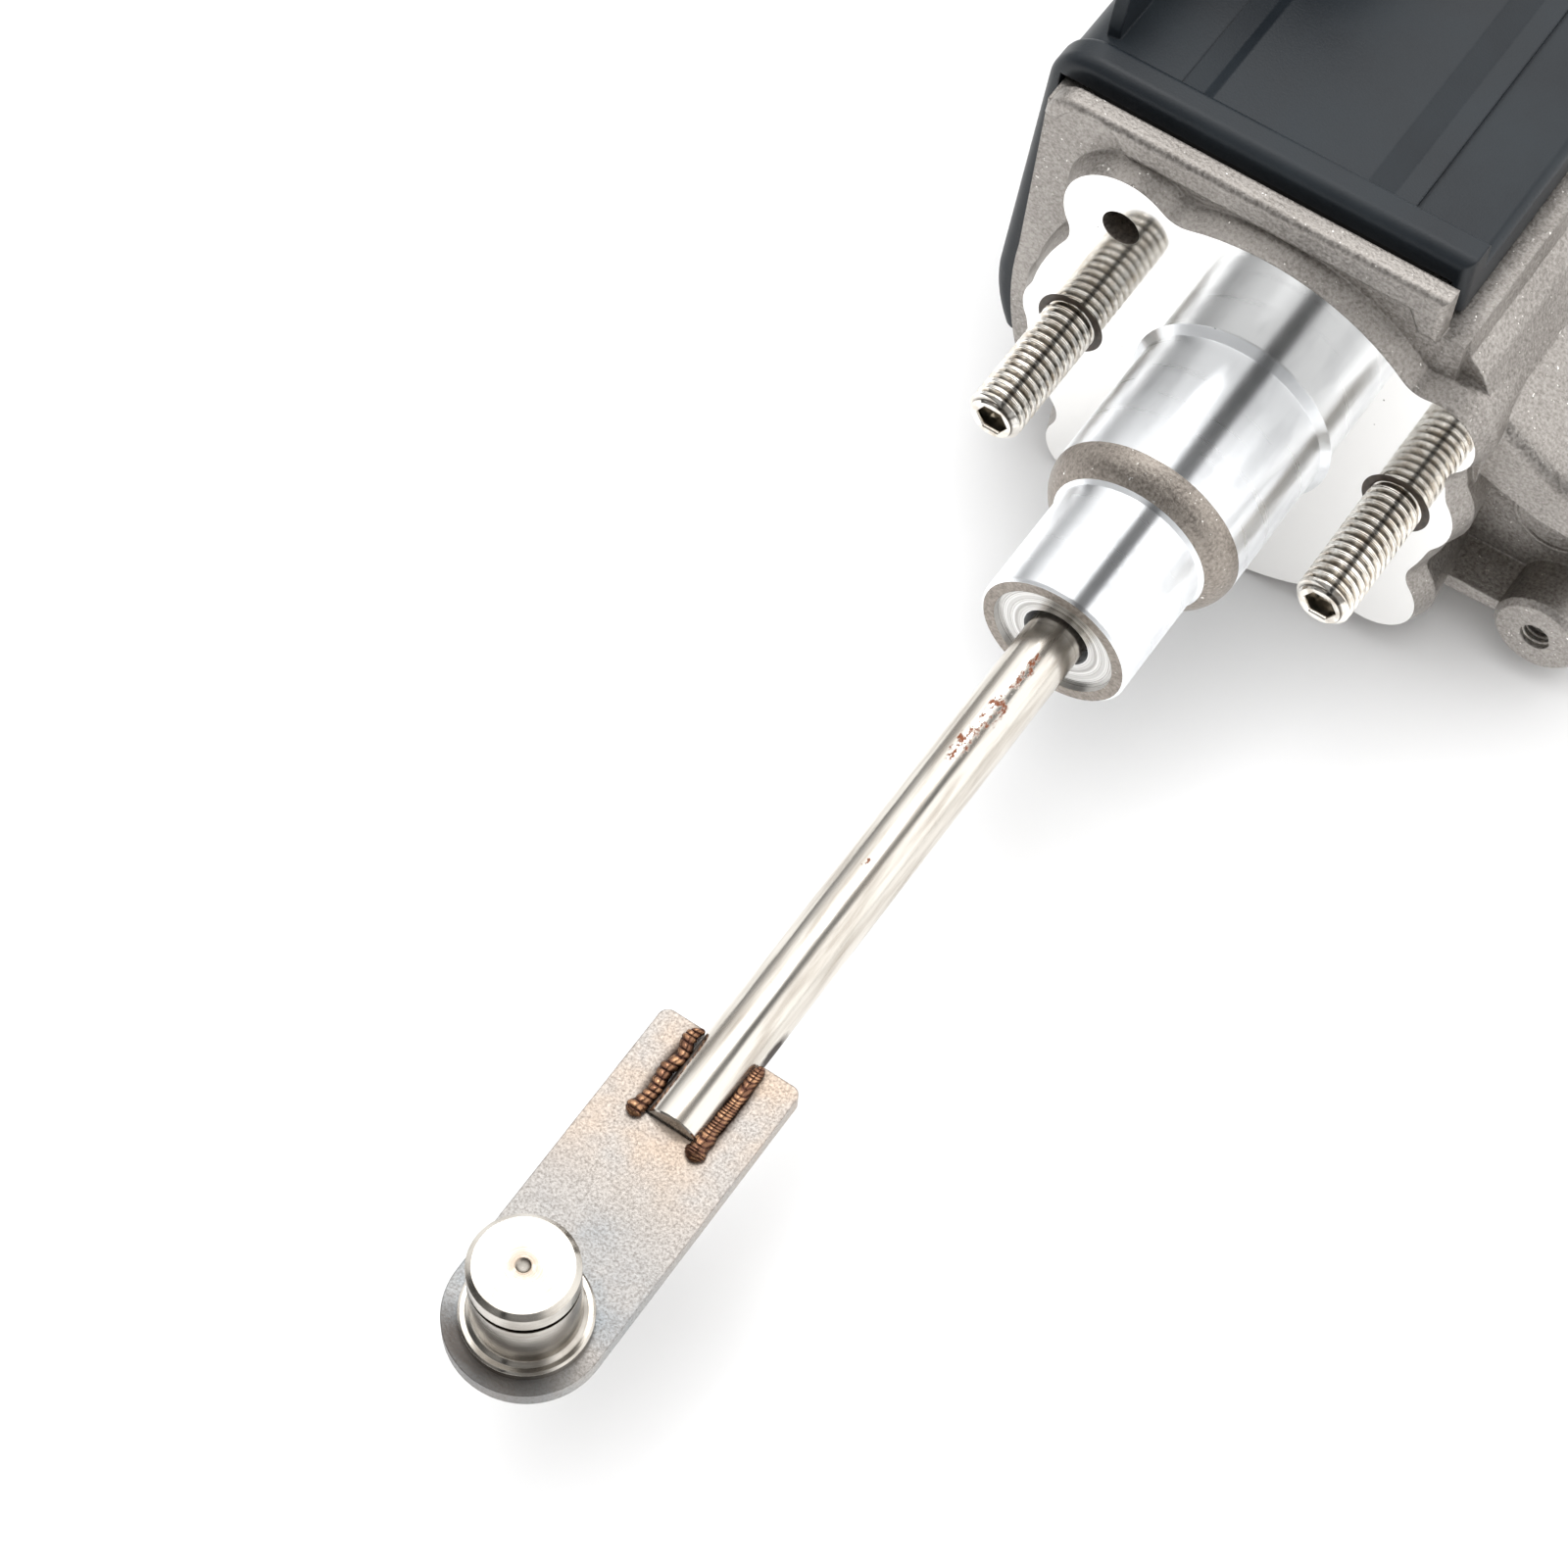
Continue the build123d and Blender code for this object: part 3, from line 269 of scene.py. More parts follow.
class Shader(Nodes):
    """A new material with one Principled shader, and the few patterns that the finishes share."""

    def __init__(self, name: str) -> None:
        """Make the material and its shader, with Object coordinates at hand.

        Args:
            name: the material's name.
        """
        self.material = bpy.data.materials.new(name)
        super().__init__(self.material)
        surface = self.add("BsdfPrincipled")
        self.principled = surface.node
        self.add("OutputMaterial", surface)
        self.place = self.add("TexCoord", out="Object")

    def set(self, **values: object) -> None:
        """Set or link the shader's sockets, with underscores for the spaces in their names."""
        for key, value in values.items():
            self.join(self.principled.inputs[key.replace("_", " ")], value)

    def distance(self, first: bpy.types.NodeSocket, second: bpy.types.NodeSocket) -> bpy.types.NodeSocket:
        """Work out the distance from an axis: the root of the sum of two offsets' squares.

        Args:
            first: the offset along one direction across the axis, in metres.
            second: the offset along the other.

        Returns:
            The distance's socket, in metres.
        """
        squares = [self.add("Math", offset, offset, operation="MULTIPLY") for offset in (first, second)]
        return self.add("Math", self.add("Math", *squares, operation="ADD"), operation="SQRT")

    def patches(self, spots: tuple[tuple[float, float, float, float], ...]) -> bpy.types.NodeSocket:
        """Return 1 in the middle of some oval patches, as seen from above, falling to 0 at their edges.

        Args:
            spots: for each patch the x and y of its middle and its half widths along both, in millimetres.

        Returns:
            The value's socket.
        """
        total: object = 0.0
        for x, y, half_x, half_y in spots:
            shift = (-x / half_x, -y / half_y, 0.0)
            scale = (per_size(half_x), per_size(half_y), 0.0)
            place = self.add("Mapping", self.place, Location=shift, Scale=scale)
            reach = self.add("VectorMath", place, operation="LENGTH")
            inside = self.add("MapRange", reach, 0.2, 1.0, 1.0, 0.0)
            total = self.add("Math", inside, total, operation="MAXIMUM")
        return total

    def relief(self, height: bpy.types.NodeSocket, depth_mm: float, edge_mm: float = 0.0,
               strength: float = 1.0) -> None:
        """Press a pattern into the surface's shading.

        Args:
            height: the pattern, 1 for its tops.
            depth_mm: how far the tops stand above the lows.
            edge_mm: the radius that sharp edges are broken by, or 0.
            strength: the share of the relief that is used.
        """
        inputs: dict = {"Height": height, "Distance": depth_mm * MM, "Strength": strength}
        if edge_mm:
            inputs["Normal"] = self.add("Bevel", edge_mm * MM, samples=4)
        self.set(Normal=self.add("Bump", **inputs))


@dataclass(frozen=True)
class CastAluminium:
    """Aluminium from the mould and the shot blaster: light grey, finely grained, with tiny glints painted
    into its colour.
    """

    name: str = "die_cast_aluminium"
    light: str = "#B3AEA9"
    dark: str = "#7D7873"
    painted_glint: str = "#F2EFEA"
    grain_mm: float = 0.34

    def build(self) -> bpy.types.Material:
        """Return the material: grey metal with a fine grain and sparse painted glints, which are near-white
        and smoother.
        """
        s = Shader(self.name)
        grain = s.add("TexNoise", s.place, per_size(self.grain_mm), 3.0, 0.6)
        cloud = s.add("TexNoise", s.place, per_size(11.0), 3.0)
        fine = s.add("Math", grain, 0.8, operation="MULTIPLY")
        coarse = s.add("Math", cloud, 0.2, operation="MULTIPLY")
        tone = s.add("MapRange", s.add("Math", fine, coarse, operation="ADD"), 0.34, 0.66)
        metal = s.add("Mix", tone, linear(self.dark), linear(self.light), data_type="RGBA")
        # Painted glints: sparse speckles of near-white colour stand for sparkle, and they are also made
        # smoother
        spark = s.add("MapRange", s.add("TexNoise", s.place, per_size(0.4), 1.0), 0.73, 0.79)
        rough = s.add("Math", s.add("MapRange", grain, 0.35, 0.65, 0.38, 0.52),
                      s.add("Math", spark, 0.2, operation="MULTIPLY"), operation="SUBTRACT")
        s.set(Base_Color=s.add("Mix", spark, metal, linear(self.painted_glint), data_type="RGBA"), Metallic=0.9,
              Roughness=rough)
        s.relief(grain, 0.07, edge_mm=0.3)
        return s.material


@dataclass(frozen=True)
class MilledAluminium:
    """Aluminium after a diamond-tipped cutter: almost a mirror, with pin-sized pores."""

    name: str = "milled_aluminium"
    colour: str = "#F1F0EE"
    pore: str = "#6E6A66"

    def build(self) -> bpy.types.Material:
        """Return the material: bright metal with faint haze and a few dark pores."""
        s = Shader(self.name)
        cells = s.add("TexVoronoi", s.place, per_size(2.1))
        rare = s.add("TexNoise", s.place, per_size(5.0), 1.0)
        size = s.add("MapRange", rare, 0.45, 0.7, 0.0, 0.075)
        pores = s.add("Math", cells, size, operation="LESS_THAN")
        haze = s.add("TexNoise", s.place, per_size(9.0), 3.0)
        s.set(Base_Color=s.add("Mix", pores, linear(self.colour), linear(self.pore), data_type="RGBA"),
              Metallic=1.0, Roughness=s.add("MapRange", haze, 0.35, 0.75, 0.035, 0.12))
        s.relief(s.add("TexNoise", s.place, per_size(1.6)), 0.0012, strength=0.6)
        return s.material


@dataclass(frozen=True)
class TurnedAluminium:
    """Aluminium from the lathe: bright, with fine rings of the tool round its axis."""

    name: str = "turned_aluminium"
    colour: str = "#F3F5F7"
    dull: str = "#D2D4D7"
    gloss: tuple[float, float] = (0.27, 0.33)
    stretch: float = 1.0

    def build(self) -> bpy.types.Material:
        """Return the material: its highlights are drawn out along the y axis, across the tool's rings."""
        s = Shader(self.name)
        # The tool's real rings are finer than a pixel: these are as coarse as they need to be to show
        bands = s.add("TexNoise", s.add("Mapping", s.place, Scale=(0.04, 1.0, 0.04)), per_size(0.9), 3.0)
        smear = s.add("TexNoise", s.add("Mapping", s.place, Scale=(1.0, 0.35, 1.0)), per_size(4.0), 3.0)
        worn = s.add("MapRange", smear, 0.5, 0.8)
        s.set(Base_Color=s.add("Mix", worn, linear(self.colour), linear(self.dull), data_type="RGBA"),
              Metallic=1.0, Roughness=s.add("MapRange", bands, 0.35, 0.65, *self.gloss),
              Anisotropic=self.stretch, Tangent=s.add("CombineXYZ", Y=1.0))
        s.relief(bands, 0.0006, edge_mm=0.12)
        return s.material


@dataclass(frozen=True)
class FacedAluminium:
    """A ring faced on the lathe: bright, with a spiral of tool marks round the rod."""

    name: str = "faced_aluminium"
    colour: str = "#E4E3E1"
    dark: str = "#A9A7A4"
    ring_mm: float = 0.42

    def build(self) -> bpy.types.Material:
        """Return the material: rings that depend on the distance from the y axis."""
        s = Shader(self.name)
        x, _, z = s.add("SeparateXYZ", s.place).node.outputs
        place = s.add("CombineXYZ", s.distance(x, z))
        # Coarser than the real tool marks, so that they show
        rings = s.add("TexNoise", place, per_size(self.ring_mm), 2.0, 0.7)
        tone = s.add("MapRange", rings, 0.4, 0.62)
        s.set(Base_Color=s.add("Mix", tone, linear(self.dark), linear(self.colour), data_type="RGBA"),
              Metallic=1.0, Roughness=s.add("MapRange", rings, 0.3, 0.7, 0.2, 0.38))
        s.relief(rings, 0.02)
        return s.material


@dataclass(frozen=True)
class MouldedPolyamide:
    """Glass-filled polyamide from a spark-eroded mould: blue-black, satin, very fine grain."""

    name: str = "moulded_polyamide"
    colour: str = "#1A1F24"
    worn: str = "#23292E"
    gloss: tuple[float, float] = (0.37, 0.48)

    def build(self) -> bpy.types.Material:
        """Return the material: nearly black, with faint clouds and a fine grain in relief."""
        s = Shader(self.name)
        cloud = s.add("TexNoise", s.place, per_size(9.0), 4.0)
        worn = s.add("MapRange", cloud, 0.35, 0.7)
        s.set(Base_Color=s.add("Mix", worn, linear(self.colour), linear(self.worn), data_type="RGBA"),
              Metallic=0.0, Roughness=s.add("MapRange", cloud, 0.3, 0.7, *self.gloss),
              Specular_IOR_Level=0.29)
        # The mould's real grain is finer than a pixel: this is as coarse as it needs to be to show
        s.relief(s.add("TexNoise", s.place, per_size(0.22)), 0.018, edge_mm=0.3)
        return s.material


@dataclass(frozen=True)
class PlatedSteel:
    """Steel under bright nickel: smooth and warm, with painted shade in the roots of the thread."""

    name: str = "nickel_plated_steel"
    colour: str = "#ECE8E1"
    hollow: str = "#B3A797"
    painted_root_shade: str = "#40382F"
    gloss: tuple[float, float] = (0.08, 0.18)

    def build(self) -> bpy.types.Material:
        """Return the material: clouded by handling, with painted shade where the piece's own height
        attribute is low.
        """
        s = Shader(self.name)
        cloud = s.add("TexNoise", s.place, per_size(1.3), 3.0)
        handled = s.add("MapRange", cloud, 0.42, 0.8)
        metal = s.add("Mix", handled, linear(self.colour), linear(self.hollow), data_type="RGBA")
        # Painted shade: the thread's roots are darkened by their low height, where shade falls
        height = s.add("Attribute", out="Fac", attribute_name="height")
        root_shade_share = s.add("MapRange", height, 0.02, 0.6, 0.9, 0.0)
        s.set(Base_Color=s.add("Mix", root_shade_share, metal, linear(self.painted_root_shade), data_type="RGBA"), Metallic=1.0,
              Roughness=s.add("MapRange", cloud, 0.3, 0.7, *self.gloss))
        s.relief(s.add("TexNoise", s.place, per_size(0.25)), 0.003, edge_mm=0.05)
        return s.material


@dataclass(frozen=True)
class GroundRod:
    """Centreless-ground stainless bar: satin, finely scored, stained where hot gas reached it."""

    name: str = "ground_stainless_rod"
    colour: str = "#CBC6BE"
    dull: str = "#A59D93"
    rust: str = "#7C4323"
    soot: str = "#2E2119"
    flecks: tuple[tuple[float, float, float, float], ...] = (
        (0.4, -44.0, 1.5, 5.0), (0.6, -38.5, 0.8, 4.0), (-0.2, -49.0, 1.4, 4.0), (-0.3, -64.5, 0.8, 0.9))
    burns: tuple[tuple[float, float, float, float], ...] = (
        (3.05, -84.4, 0.35, 3.4), (2.9, -91.5, 0.7, 6.5), (-2.9, -91.5, 0.9, 6.5))

    def build(self) -> bpy.types.Material:
        """Return the material: long smears, rust flecks on the top, and soot beside the welds."""
        s = Shader(self.name)
        smear = s.add("TexNoise", s.add("Mapping", s.place, Scale=(1.0, 0.1, 1.0)), per_size(1.0), 4.0)
        waves = s.add("TexNoise", s.add("Mapping", s.place, Scale=(1.0, 0.16, 1.0)), per_size(1.1), 1.0)
        dulled = s.add("MapRange", smear, 0.42, 0.72)
        metal = s.add("Mix", dulled, linear(self.colour), linear(self.dull), data_type="RGBA")
        place = s.add("Mapping", s.place, Scale=(1.0, 0.6, 1.0))
        grain = s.add("TexNoise", place, per_size(0.75), 6.0, 0.8)
        flecks = s.add("Math", s.patches(self.flecks), s.add("MapRange", grain, 0.44, 0.62),
                       operation="MULTIPLY")
        rust = s.add("MapRange", flecks, 0.28, 0.5)
        burns = s.add("Math", s.patches(self.burns), s.add("MapRange", grain, 0.2, 0.6, 0.5, 1.0),
                      operation="MULTIPLY")
        soot = s.add("MapRange", burns, 0.15, 0.6)
        mask = s.add("Math", rust, soot, operation="MAXIMUM")
        rusty = s.add("Mix", rust, metal, linear(self.rust), data_type="RGBA")
        rough = s.add("Math", s.add("MapRange", smear, 0.35, 0.7, 0.16, 0.3),
                      s.add("Math", mask, 0.3, operation="MULTIPLY"), operation="ADD")
        s.set(Base_Color=s.add("Mix", soot, rusty, linear(self.soot), data_type="RGBA"), Roughness=rough,
              Metallic=s.add("MapRange", mask, 0.0, 1.0, 1.0, 0.4))
        pits = s.add("Math", rust, 0.5, operation="MULTIPLY")
        s.relief(s.add("Math", waves, pits, operation="SUBTRACT"), 0.02, edge_mm=0.08)
        return s.material


@dataclass(frozen=True)
class TintedPlate:
    """Stamped stainless sheet: softly grained, straw and rose where welding and riveting heated it, with
    painted shade by the pin.
    """

    name: str = "heat_tinted_plate"
    colour: str = "#9D9995"
    straw: str = "#AA9A8B"
    blue: str = "#7E878D"
    edge: str = "#665C54"
    shade: str = "#423D39"
    pin_shadow_patch: tuple[tuple[float, float, float, float], ...] = ((-1.2, -122.6, 9.0, 4.2),)
    soot: str = "#2A1D16"
    beads: tuple[tuple[float, float, float, float], ...] = (
        (-3.7, -91.6, 1.5, 7.6), (3.5, -91.9, 1.4, 7.4))
    weld_middle: tuple[float, float] = (0.0, -91.0)
    pin_middle: tuple[float, float] = (0.0, -117.6)

    def build(self) -> bpy.types.Material:
        """Return the material: tints that fade with the distance from the welds and from the pin, and a
        patch of painted shade by the pin.
        """
        s = Shader(self.name)
        grain = s.add("TexNoise", s.place, per_size(0.26), 3.0, 0.7)
        cloud = s.add("TexNoise", s.place, per_size(5.0), 3.0)
        heat = self._near(s, self.weld_middle, 4.5, 26.0)
        cold = self._near(s, self.pin_middle, 6.5, 19.0)
        warm = s.add("Math", heat, s.add("MapRange", cloud, 0.35, 0.65, 0.1, 1.0), operation="MULTIPLY")
        bluish = s.add("Math", cold, s.add("MapRange", cloud, 0.3, 0.75), operation="MULTIPLY")
        # Painted shade: a dark patch on the plate round the base of the pin, where the pin's shadow falls
        painted_shade_share = s.add("MapRange", s.patches(self.pin_shadow_patch), 0.05, 0.8, 0.0, 0.9)
        speckle = s.add("MapRange", grain, 0.45, 0.75, 0.0, 0.5)
        beads = s.add("Math", s.patches(self.beads), s.add("MapRange", cloud, 0.2, 0.7, 0.6, 1.0),
                      operation="MULTIPLY")
        soot = s.add("MapRange", beads, 0.15, 0.7)
        metal: object = linear(self.colour)
        layers = ((warm, self.straw), (bluish, self.blue), (painted_shade_share, self.shade), (speckle, self.edge),
                  (soot, self.soot))
        for share, tint in layers:
            metal = s.add("Mix", share, metal, linear(tint), data_type="RGBA")
        s.set(Base_Color=metal, Metallic=0.9, Roughness=s.add("MapRange", grain, 0.3, 0.7, 0.3, 0.5))
        s.relief(grain, 0.025, edge_mm=0.2)
        return s.material

    def _near(self, s: Shader, middle: tuple[float, float], full_mm: float,
              none_mm: float) -> bpy.types.NodeSocket:
        """Work out a share that falls with the distance from a point, seen from above.

        Args:
            s: the shader to add to.
            middle: the point's x and y, in millimetres.
            full_mm: the distance up to which the share is 1.
            none_mm: the distance from which it is 0.

        Returns:
            The share's socket.
        """
        point = (middle[0] * MM, middle[1] * MM, 0.0)
        offset = s.add("VectorMath", s.place, point, operation="DISTANCE")
        return s.add("MapRange", offset, full_mm * MM, none_mm * MM, 1.0, 0.0)


@dataclass(frozen=True)
class TurnedPin:
    """A pin turned from stainless bar: rings round its shank and round its centre mark on top."""

    name: str = "turned_stainless_pin"
    colour: str = "#BCB7AF"
    dull: str = "#938C83"
    stain: str = "#716253"
    groove: str = "#4A3E35"
    groove_z: tuple[float, float] = (8.95, 9.75)
    middle_y: float = -117.6
    body_radius: float = 4.8
    pip_edge: tuple[float, float] = (0.3, 0.6)
    stain_inner: tuple[float, float] = (0.3, 0.7)
    stain_outer: tuple[float, float] = (0.8, 2.4)

    def build(self) -> bpy.types.Material:
        """Return the material: rings by height and by distance from the axis, and painted shade in the clip
        groove.
        """
        s = Shader(self.name)
        x, y, z = s.add("SeparateXYZ", s.place).node.outputs
        radius = s.distance(x, s.add("Math", y, self.middle_y * MM, operation="SUBTRACT"))
        # Coarser than the real tool marks, so that they show
        rings = s.add("TexNoise", s.add("CombineXYZ", X=radius, Z=z), per_size(0.16), 2.0, 0.6)
        smear = s.add("TexNoise", s.place, per_size(3.0), 3.0)
        pip_edge, inner, outer = (
            [v * MM for v in span] for span in (self.pip_edge, self.stain_inner, self.stain_outer))
        ring = s.add("Math", s.add("MapRange", radius, *inner), s.add("MapRange", radius, *outer, 0.8, 0.0),
                     operation="MULTIPLY")
        patchy = s.add("MapRange", s.add("TexNoise", s.place, per_size(0.7), 3.0), 0.2, 0.5, 0.4, 1.0)
        centre = s.add("Math", ring, patchy, operation="MULTIPLY")
        wear = s.add("Math", smear, s.add("Math", rings, 0.4, operation="MULTIPLY"), operation="ADD")
        worn = s.add("MapRange", wear, 0.6, 0.95)
        metal = s.add("Mix", worn, linear(self.colour), linear(self.dull), data_type="RGBA")
        metal = s.add("Mix", centre, metal, linear(self.stain), data_type="RGBA")
        pip = s.add("MapRange", radius, *pip_edge, 1.0, 0.0)
        # Painted shade: the band of the clip groove is coloured dark, where shade falls in it
        low, high = (v * MM for v in self.groove_z)
        off = s.add("Math", s.add("Math", z, (low + high) / 2, operation="SUBTRACT"), operation="ABSOLUTE")
        inside = s.add("Math", s.add("Math", off, (high - low) / 2, operation="LESS_THAN"),
                       s.add("Math", radius, self.body_radius * MM, operation="LESS_THAN"),
                       operation="MULTIPLY")
        rough = s.add("Math", s.add("MapRange", rings, 0.3, 0.7, 0.12, 0.26),
                      s.add("Math", pip, 0.6, operation="MULTIPLY"), operation="ADD")
        s.set(Base_Color=s.add("Mix", inside, metal, linear(self.groove), data_type="RGBA"),
              Metallic=s.add("MapRange", pip, 0.0, 1.0, 1.0, 0.0), Roughness=rough)
        s.relief(rings, 0.004, edge_mm=0.1)
        return s.material


@dataclass(frozen=True)
class OxidisedWeld:
    """Weld metal left as welded: copper brown, with a painted highlight in gold on the ripple tops, and
    darker towards the ripples' lows.
    """

    name: str = "oxidised_weld"
    valley: str = "#1C130F"
    body: str = "#55382E"
    top: str = "#B88D6B"

    def build(self) -> bpy.types.Material:
        """Return the material: its colour follows the piece's own ripple attribute."""
        s = Shader(self.name)
        ripple = s.add("Attribute", out="Fac", attribute_name="ripple")
        fine = s.add("TexNoise", s.place, per_size(0.35), 3.0)
        height = s.add("Math", ripple, s.add("MapRange", fine, 0.3, 0.7, -0.18, 0.18), operation="ADD")
        # Darker towards the ripples' lows, going by the ripple attribute
        slope = s.add("MapRange", height, 0.05, 0.45)
        low = s.add("Mix", slope, linear(self.valley), linear(self.body), data_type="RGBA")
        patchy = s.add("MapRange", s.add("TexNoise", s.place, per_size(1.6)), 0.4, 0.65, 0.25, 1.0)
        # Painted highlight: gold on the ripple tops, where the light catches them
        crest = s.add("Math", s.add("MapRange", height, 0.6, 1.0), patchy, operation="MULTIPLY")
        s.set(Base_Color=s.add("Mix", crest, low, linear(self.top), data_type="RGBA"), Metallic=0.92,
              Roughness=s.add("MapRange", fine, 0.3, 0.7, 0.15, 0.32))
        s.relief(fine, 0.015)
        return s.material


@dataclass(frozen=True)
class PlainFinish:
    """A finish that differs from others of its sort by its colours, metal and gloss alone."""

    name: str
    colour: str
    second: str
    metallic: float = 0.0
    rough: tuple[float, float] = (0.3, 0.5)
    grain_mm: float = 0.4
    relief_mm: float = 0.01

    def build(self) -> bpy.types.Material:
        """Return the material: two close tones in a fine grain."""
        s = Shader(self.name)
        grain = s.add("TexNoise", s.place, per_size(self.grain_mm), 3.0)
        tone = s.add("MapRange", grain, 0.35, 0.7)
        s.set(Base_Color=s.add("Mix", tone, linear(self.colour), linear(self.second), data_type="RGBA"),
              Metallic=self.metallic, Roughness=s.add("MapRange", grain, 0.3, 0.7, *self.rough))
        s.relief(grain, self.relief_mm, edge_mm=0.1)
        return s.material


class Inner(Enum):
    """The plain finishes, each with what it gives the eye."""

    # Nitrile rubber: dull black
    RUBBER = PlainFinish("nitrile_rubber", "#1B1B1C", "#242425", rough=(0.55, 0.7))
    # Sintered bronze: porous, brownish gold
    BRONZE = PlainFinish("sintered_bronze", "#A47A4A", "#7C5934", 1.0, (0.3, 0.5), 0.2, 0.02)
    # Acetal gears: ivory, slightly waxy
    ACETAL = PlainFinish("moulded_acetal", "#DAD5C8", "#CEC8BA", rough=(0.3, 0.42))
    # Zinc-plated steel: bluish silver
    ZINC = PlainFinish("zinc_plated_steel", "#B4B6B8", "#94979A", 1.0, (0.22, 0.36), 0.8, 0.006)
    # Deep-drawn steel can: satin grey
    DRAWN = PlainFinish("deep_drawn_steel", "#A7A8AA", "#8E8F92", 1.0, (0.28, 0.4), 1.5, 0.006)
    # Sintered ferrite: dark, slightly shiny grey
    FERRITE = PlainFinish("sintered_ferrite", "#2D2E30", "#3A3B3D", 0.3, (0.4, 0.55), 0.3, 0.02)
    # Stacked steel sheets: dark grey
    LAMINATED = PlainFinish("laminated_steel", "#6F7073", "#57585B", 1.0, (0.35, 0.5), 0.35, 0.02)
    # Bare copper: warm red
    COPPER = PlainFinish("bare_copper", "#C07A50", "#A3623C", 1.0, (0.2, 0.35), 0.6, 0.004)
    # Painted shade: a dark ring in the mouth of a stud's hole, where the recess lies in shadow; dark brown,
    # slightly shiny
    PAINTED_HOLE_SHADE = PlainFinish("painted_hole_shade", "#3A322B", "#574C42", 0.2, (0.35, 0.5), 0.8, 0.01)
    # Tinned brass blades: pale straw
    TIN = PlainFinish("tinned_brass", "#D3CDBC", "#BDB49C", 1.0, (0.18, 0.3), 0.5, 0.003)
    # Solder-lacquered board: glossy green
    BOARD = PlainFinish("lacquered_board", "#1F5A34", "#18492A", rough=(0.15, 0.25))


def dress(node: str, *finishes: bpy.types.Material) -> bpy.types.Object:
    """Give a CAD node its finishes.

    Args:
        node: the node's name.
        finishes: the materials, the first of them for the whole node.

    Returns:
        The node's object.
    """
    piece = bpy.data.objects[node]
    piece.data.materials.clear()
    for finish in finishes:
        piece.data.materials.append(finish)
    LOG.info("dressed %s with %s", node, ", ".join(f.name for f in finishes))
    return piece


# Sub-assemblies


@dataclass
class Casting:
    """The aluminium housing: cast all over, milled on its mounting face and turned on its nose."""

    nose_root_radius: float = 11.4
    shoulder_y: float = -16.05
    step_y: float = -19.25
    nose_end_y: float = -32.8
    recess_radius: float = 6.7
    recess_depth: float = 1.5
    recess_lip: float = 0.1
    flat_band: float = 0.02
    past_face: float = 0.01
    square_on: float = -0.99
    nearly_square: float = -0.9
    stud_hole_reach: float = 3.9
    stud_hole_depth: float = 10.0
    dowel: tuple[float, float] = (-15.1, 17.6)
    dowel_reach: float = 2.2
    dowel_depth: float = 6.0

    def build(self) -> None:
        """Dress the housing face by face, going by where each face lies."""
        raw = CastAluminium("raw_cast_edge", light="#AEA69D", dark="#79716A")
        finishes = (CastAluminium(), MilledAluminium(), TurnedAluminium(), FacedAluminium(), raw)
        piece = dress("housing", *(finish.build() for finish in finishes))
        piece.data.polygons.foreach_set("material_index", self.finish_numbers(piece.data))
        piece.data.update()

    def finish_numbers(self, mesh: bpy.types.Mesh) -> np.ndarray:
        """Find each face's finish from its middle and its normal.

        Args:
            mesh: the housing's mesh, in metres.

        Returns:
            One number for each face: 0 cast, 1 milled, 2 turned, 3 faced, 4 the raw edges of the nose.
        """
        count = len(mesh.polygons)
        middle, normal = np.zeros(count * 3), np.zeros(count * 3)
        mesh.polygons.foreach_get("center", middle)
        mesh.polygons.foreach_get("normal", normal)
        x, y, z = middle.reshape(-1, 3).T / MM
        facing = normal.reshape(-1, 3)[:, 1]
        radius = np.hypot(x, z)
        number = np.zeros(count, dtype=np.int32)
        number[(np.abs(y) < self.flat_band) & (facing < self.square_on)] = 1
        nose = (radius < self.nose_root_radius) & (y < -self.past_face)
        shoulder = (y < self.shoulder_y) & (y > self.step_y)
        number[nose & ~shoulder] = 2
        end = (y < self.nose_end_y + self.flat_band) & (facing < self.nearly_square)
        number[nose & (end | shoulder)] = 4
        inset = y - self.nose_end_y
        in_recess = (inset > self.recess_lip) & (inset < self.recess_depth)
        number[in_recess & (radius < self.recess_radius)] = 3
        reach = self.stud_hole_reach
        beside_stud = (np.abs(np.abs(x) - STUD_X) < reach) & (np.abs(z) < reach)
        number[(y > 0.0) & (y < self.stud_hole_depth) & beside_stud] = 2
        dowel_x, dowel_z = self.dowel
        in_dowel = np.hypot(x - dowel_x, z - dowel_z) < self.dowel_reach
        number[(y > self.past_face) & (y < self.dowel_depth) & in_dowel] = 4
        return number


@dataclass
class Cover:
    """The black cover with its connector, gasket and screws."""

    screws: int = 3
    terminals: int = 5

    def build(self) -> None:
        """Dress each of its pieces."""
        dress("cover", MouldedPolyamide().build())
        dress("cover_gasket", Inner.RUBBER.value.build())
        zinc, tin = Inner.ZINC.value.build(), Inner.TIN.value.build()
        for number in range(1, self.screws + 1):
            dress(f"cover_screw_{number}", zinc)
        for number in range(1, self.terminals + 1):
            dress(f"terminal_{number}", tin)


